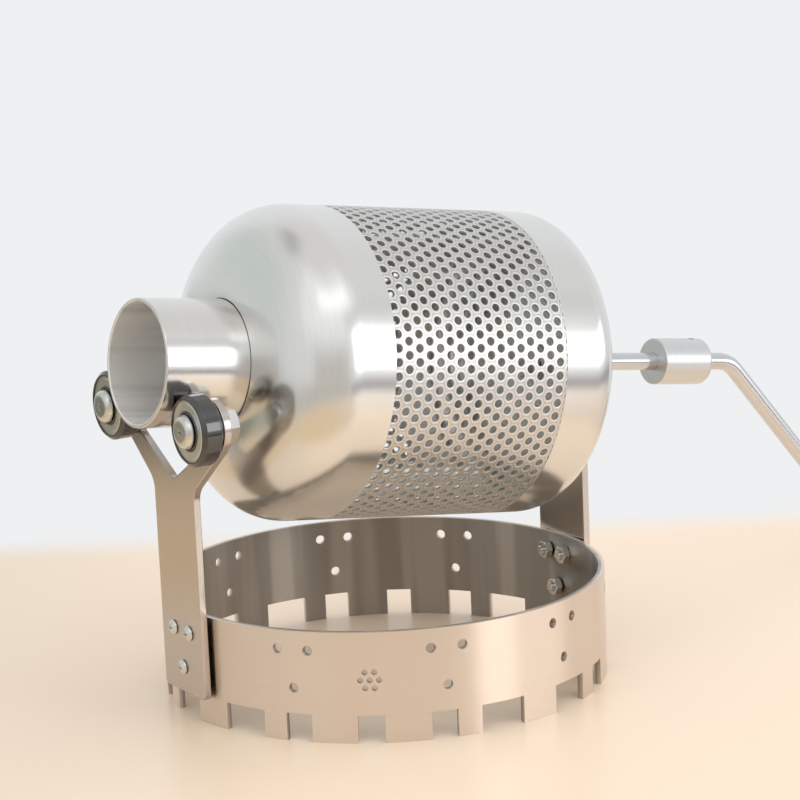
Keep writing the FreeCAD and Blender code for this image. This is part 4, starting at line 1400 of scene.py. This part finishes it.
@dataclass
class Studio:
    """Camera, floor, lamps and the pale room that the metal mirrors."""

    azimuth: float = -32.214
    elevation: float = 11.362
    roll: float = -2.452
    place: Place = (-0.44719, -0.72480, 0.26263)
    focal_pixels: float = 2683.8
    image_width: float = 800.0
    sensor: float = 36.0
    floor_half: float = 1.2
    floor_colour: Colour = (0.88, 0.71, 0.545)
    # Painted shade of the floor towards the camera's left
    floor_painted_shade: Colour = (0.74, 0.60, 0.465)
    # Painted colours of the floor that only the metal mirrors, darkened with painted shade
    painted_mirror_left: Colour = (0.71, 0.52, 0.32)
    painted_mirror_right: Colour = (0.75, 0.61, 0.50)
    floor_roughness: float = 0.30
    floor_gloss: float = 0.4
    floor_end: float = 0.185
    floor_blend: float = 0.022
    floor_near: float = 0.14
    floor_side: float = 0.16
    near_blend: float = 0.05
    painted_shade_span: tuple[float, float] = (-0.18, 0.0)
    painted_mirror_span: tuple[float, float] = (-0.06, 0.26)
    mirrored_reach: tuple[float, float] = (0.39, 0.45)
    seen_reach: tuple[float, float] = (0.62, 0.85)
    backdrop: Colour = (0.856, 0.871, 0.887)
    room: Colour = (0.80, 0.81, 0.805)
    ceiling: Colour = (0.80, 0.78, 0.765)
    ceiling_span: tuple[float, float] = (20.0, 75.0)
    behind_span: tuple[float, float] = (115.0, 145.0)
    behind_top: tuple[float, float] = (35.0, 60.0)
    lamps: tuple[Lamp, ...] = (
        Lamp("high_softbox", 25.0, 51.0, 1.6, (1.5, 0.34), 0.8, False),
        Lamp("window", 57.0, 12.5, 1.6, (0.64, 0.68), 2.4, True),
        Lamp("side_window", 85.0, 7.5, 1.6, (0.86, 0.50), 1.2, True),
        Lamp("overhead", 0.0, 88.0, 1.5, (1.6, 1.6), 1.2, False),
    )
    patches: tuple[Patch, ...] = (
        Patch(14, 46, 66, 22, 9, (0.97, 0.985, 0.98)),
        Patch(22, 51, 40, 6.5, 7, (1.4, 1.4, 1.4)),
        Patch(-108, 24, 30, 22, 18, (0.655, 0.70, 0.68)),
        Patch(-112, -9, 34, 9, 5, (0.42, 0.42, 0.36)),
        Patch(-117, -14, 15, 6, 3, (0.15, 0.16, 0.12)),
        Patch(-115, 66, 30, 8, 10, (0.48, 0.48, 0.47)),
        Patch(2, 6, 30, 10, 9, (0.62, 0.59, 0.55)),
        Patch(66, 34, 30, 5, 5, (0.72, 0.73, 0.73)),
        Patch(-20, -9, 56, 7, 5, (0.60, 0.56, 0.51)),
        Patch(82, -11, 44, 3, 2, (0.32, 0.28, 0.30)),
    )

    def _axes(self) -> tuple[Vector, Vector, Vector]:
        """The camera's right, up and back directions."""
        r = math.radians(self.roll)
        back = direction(self.azimuth, self.elevation)
        right = (-back).cross(Vector((0, 0, 1))).normalized()
        up = right.cross(-back)
        return right * math.cos(r) + up * math.sin(r), up * math.cos(r) - right * math.sin(r), back

    def build_camera(self) -> None:
        """A long lens at the fitted place."""
        data = bpy.data.cameras.new("camera")
        data.sensor_width = self.sensor
        data.lens = self.focal_pixels / self.image_width * self.sensor
        data.clip_start = 0.01
        camera = linked("camera", data)
        turn = Matrix(self._axes()).transposed().to_4x4()
        camera.matrix_world = Matrix.Translation(Vector(self.place)) @ turn
        bpy.context.scene.camera = camera

    def build_floor(self) -> None:
        """A pale floor that fades out all round, and sooner behind the stand.

        Painted shade darkens it towards the camera's left. What the metal mirrors of it carries painted
        shade past its near side and on either side, darkest on the left where the object's shadow would
        lie, and ends nearer.
        """
        reach = self.floor_half / MM
        corners = np.array([[-reach, -reach, 0], [reach, -reach, 0], [reach, reach, 0], [-reach, reach, 0]])
        mesh = write_mesh("floor", corners, [np.array([[0, 1, 2, 3]])], 30.0)
        floor = linked("floor", mesh)
        material, graph = new_material("pale_floor")
        a = math.radians(self.azimuth)
        x, y, _ = graph.parts(graph.place())
        depth = x * -math.sin(a) + y * math.cos(a)
        aside = x * math.cos(a) + y * math.sin(a)
        far = graph.math("SQRT", x * x + y * y)
        seen = graph.value("ShaderNodeLightPath", output="Is Camera Ray")
        # Where what the metal mirrors takes painted colours: past the floor's near side and on either side
        outer = graph.math(
            "MAXIMUM", graph.steps(depth * -1.0, self.floor_near, self.floor_near + self.near_blend),
            graph.steps(graph.math("ABSOLUTE", aside), self.floor_side, self.floor_side + self.near_blend))
        # Painted shade in the floor that the metal mirrors, darkest on the left where the object's shadow
        # would lie
        painted_mirror_floor = graph.mix(graph.steps(aside, *self.painted_mirror_span), self.painted_mirror_left, self.painted_mirror_right)
        # Painted shade: the floor that the camera sees darkens towards its left
        near = graph.mix(graph.steps(aside, *self.painted_shade_span), self.floor_painted_shade, self.floor_colour)
        shader = graph.value("ShaderNodeBsdfPrincipled", None,
                             {"Base Color": graph.mix(outer * (1.0 - seen), near, painted_mirror_floor),
                              "Roughness": self.floor_roughness, "Specular IOR Level": self.floor_gloss})
        clear = graph.value("ShaderNodeBsdfTransparent")
        gone = (graph.steps(far, *self.mirrored_reach) * (1.0 - seen)
                + graph.steps(far, *self.seen_reach) * seen)
        end = graph.steps(depth, self.floor_end - self.floor_blend, self.floor_end + self.floor_blend)
        mixed = graph.value("ShaderNodeMixShader", None,
                            {0: graph.math("MAXIMUM", end, gone), 1: shader, 2: clear})
        graph.node("ShaderNodeOutputMaterial", None, {"Surface": mixed})
        mesh.materials.append(material)

    @staticmethod
    def _cover(graph: Graph, angle: Field, middle: float, half: float, soft: float) -> Field:
        """How far an angle lies in a band: 1 within half of the middle, falling softly to 0."""
        off = graph.math("ABSOLUTE", angle - middle)
        return 1.0 - graph.steps(off, half - soft, half + soft)

    def build_room(self) -> None:
        """The world: pale all round, with soft patches, and plain where the camera sees it."""
        world = bpy.data.worlds.new("room")
        bpy.context.scene.world = world
        world.use_nodes = True
        graph = Graph(world.node_tree)
        x, y, z = graph.parts(graph.value("ShaderNodeTexCoord", output="Generated"))
        a = math.radians(self.azimuth)
        towards = x * math.sin(a) - y * math.cos(a)
        aside = x * math.cos(a) + y * math.sin(a)
        bearing = graph.math("DEGREES", graph.math("ARCTAN2", aside, towards))
        height = graph.math("DEGREES", graph.math("ARCSINE", z))
        colour = graph.mix(graph.steps(height, *self.ceiling_span), self.room, self.ceiling)
        behind = graph.steps(graph.math("ABSOLUTE", bearing), *self.behind_span)
        colour = graph.mix(behind * (1.0 - graph.steps(height, *self.behind_top)), colour, self.backdrop)
        for patch in self.patches:
            share = (self._cover(graph, bearing, patch.bearing, patch.half_width, patch.soft)
                     * self._cover(graph, height, patch.height, patch.half_height, patch.soft))
            colour = graph.mix(share, colour, patch.colour)
        seen = graph.value("ShaderNodeLightPath", output="Is Camera Ray")
        light = graph.value("ShaderNodeBackground", None,
                            {"Color": graph.mix(seen, colour, self.backdrop), "Strength": 1.0})
        graph.node("ShaderNodeOutputWorld", None, {"Surface": light})

    def build_lamps(self) -> None:
        """The softbox above and behind the camera, two windows to the right, and a fill overhead."""
        for lamp in self.lamps:
            data = bpy.data.lights.new(lamp.name, "AREA")
            data.shape = "RECTANGLE"
            data.size, data.size_y = lamp.size
            data.energy = lamp.glow * math.pi * lamp.size[0] * lamp.size[1]
            away = direction(self.azimuth + lamp.bearing, lamp.height)
            made = linked(lamp.name, data)
            made.matrix_world = (Matrix.Translation(Vector(DRUM_ORIGIN) + away * lamp.distance)
                                 @ away.to_track_quat("Z", "Y").to_matrix().to_4x4())
            made.visible_glossy = lamp.mirrored

    def build(self) -> None:
        """The whole studio."""
        for build in (self.build_camera, self.build_floor, self.build_room, self.build_lamps):
            build()
        bpy.context.scene.view_settings.view_transform = "Standard"


def main() -> None:
    """Builds the studio, then each sub-assembly in order."""
    logging.basicConfig(level=logging.INFO, format="%(name)s: %(message)s")
    Studio().build()
    bench = Bench(Finishes())
    bench.dress_solids()
    stand = RingStand()
    stand.build_ring(bench)
    stand.build_fasteners(bench)
    Uprights().build(bench)
    Rollers().build(bench)
    drum = Drum()
    for build in (drum.build_neck, drum.build_dome, drum.build_sheet, drum.build_cap):
        build(bench)
    crank = Crank()
    for build in (crank.build_shaft, crank.build_coupling, crank.build_rod, crank.build_grip):
        build(bench)


if __name__ == "__main__":
    main()
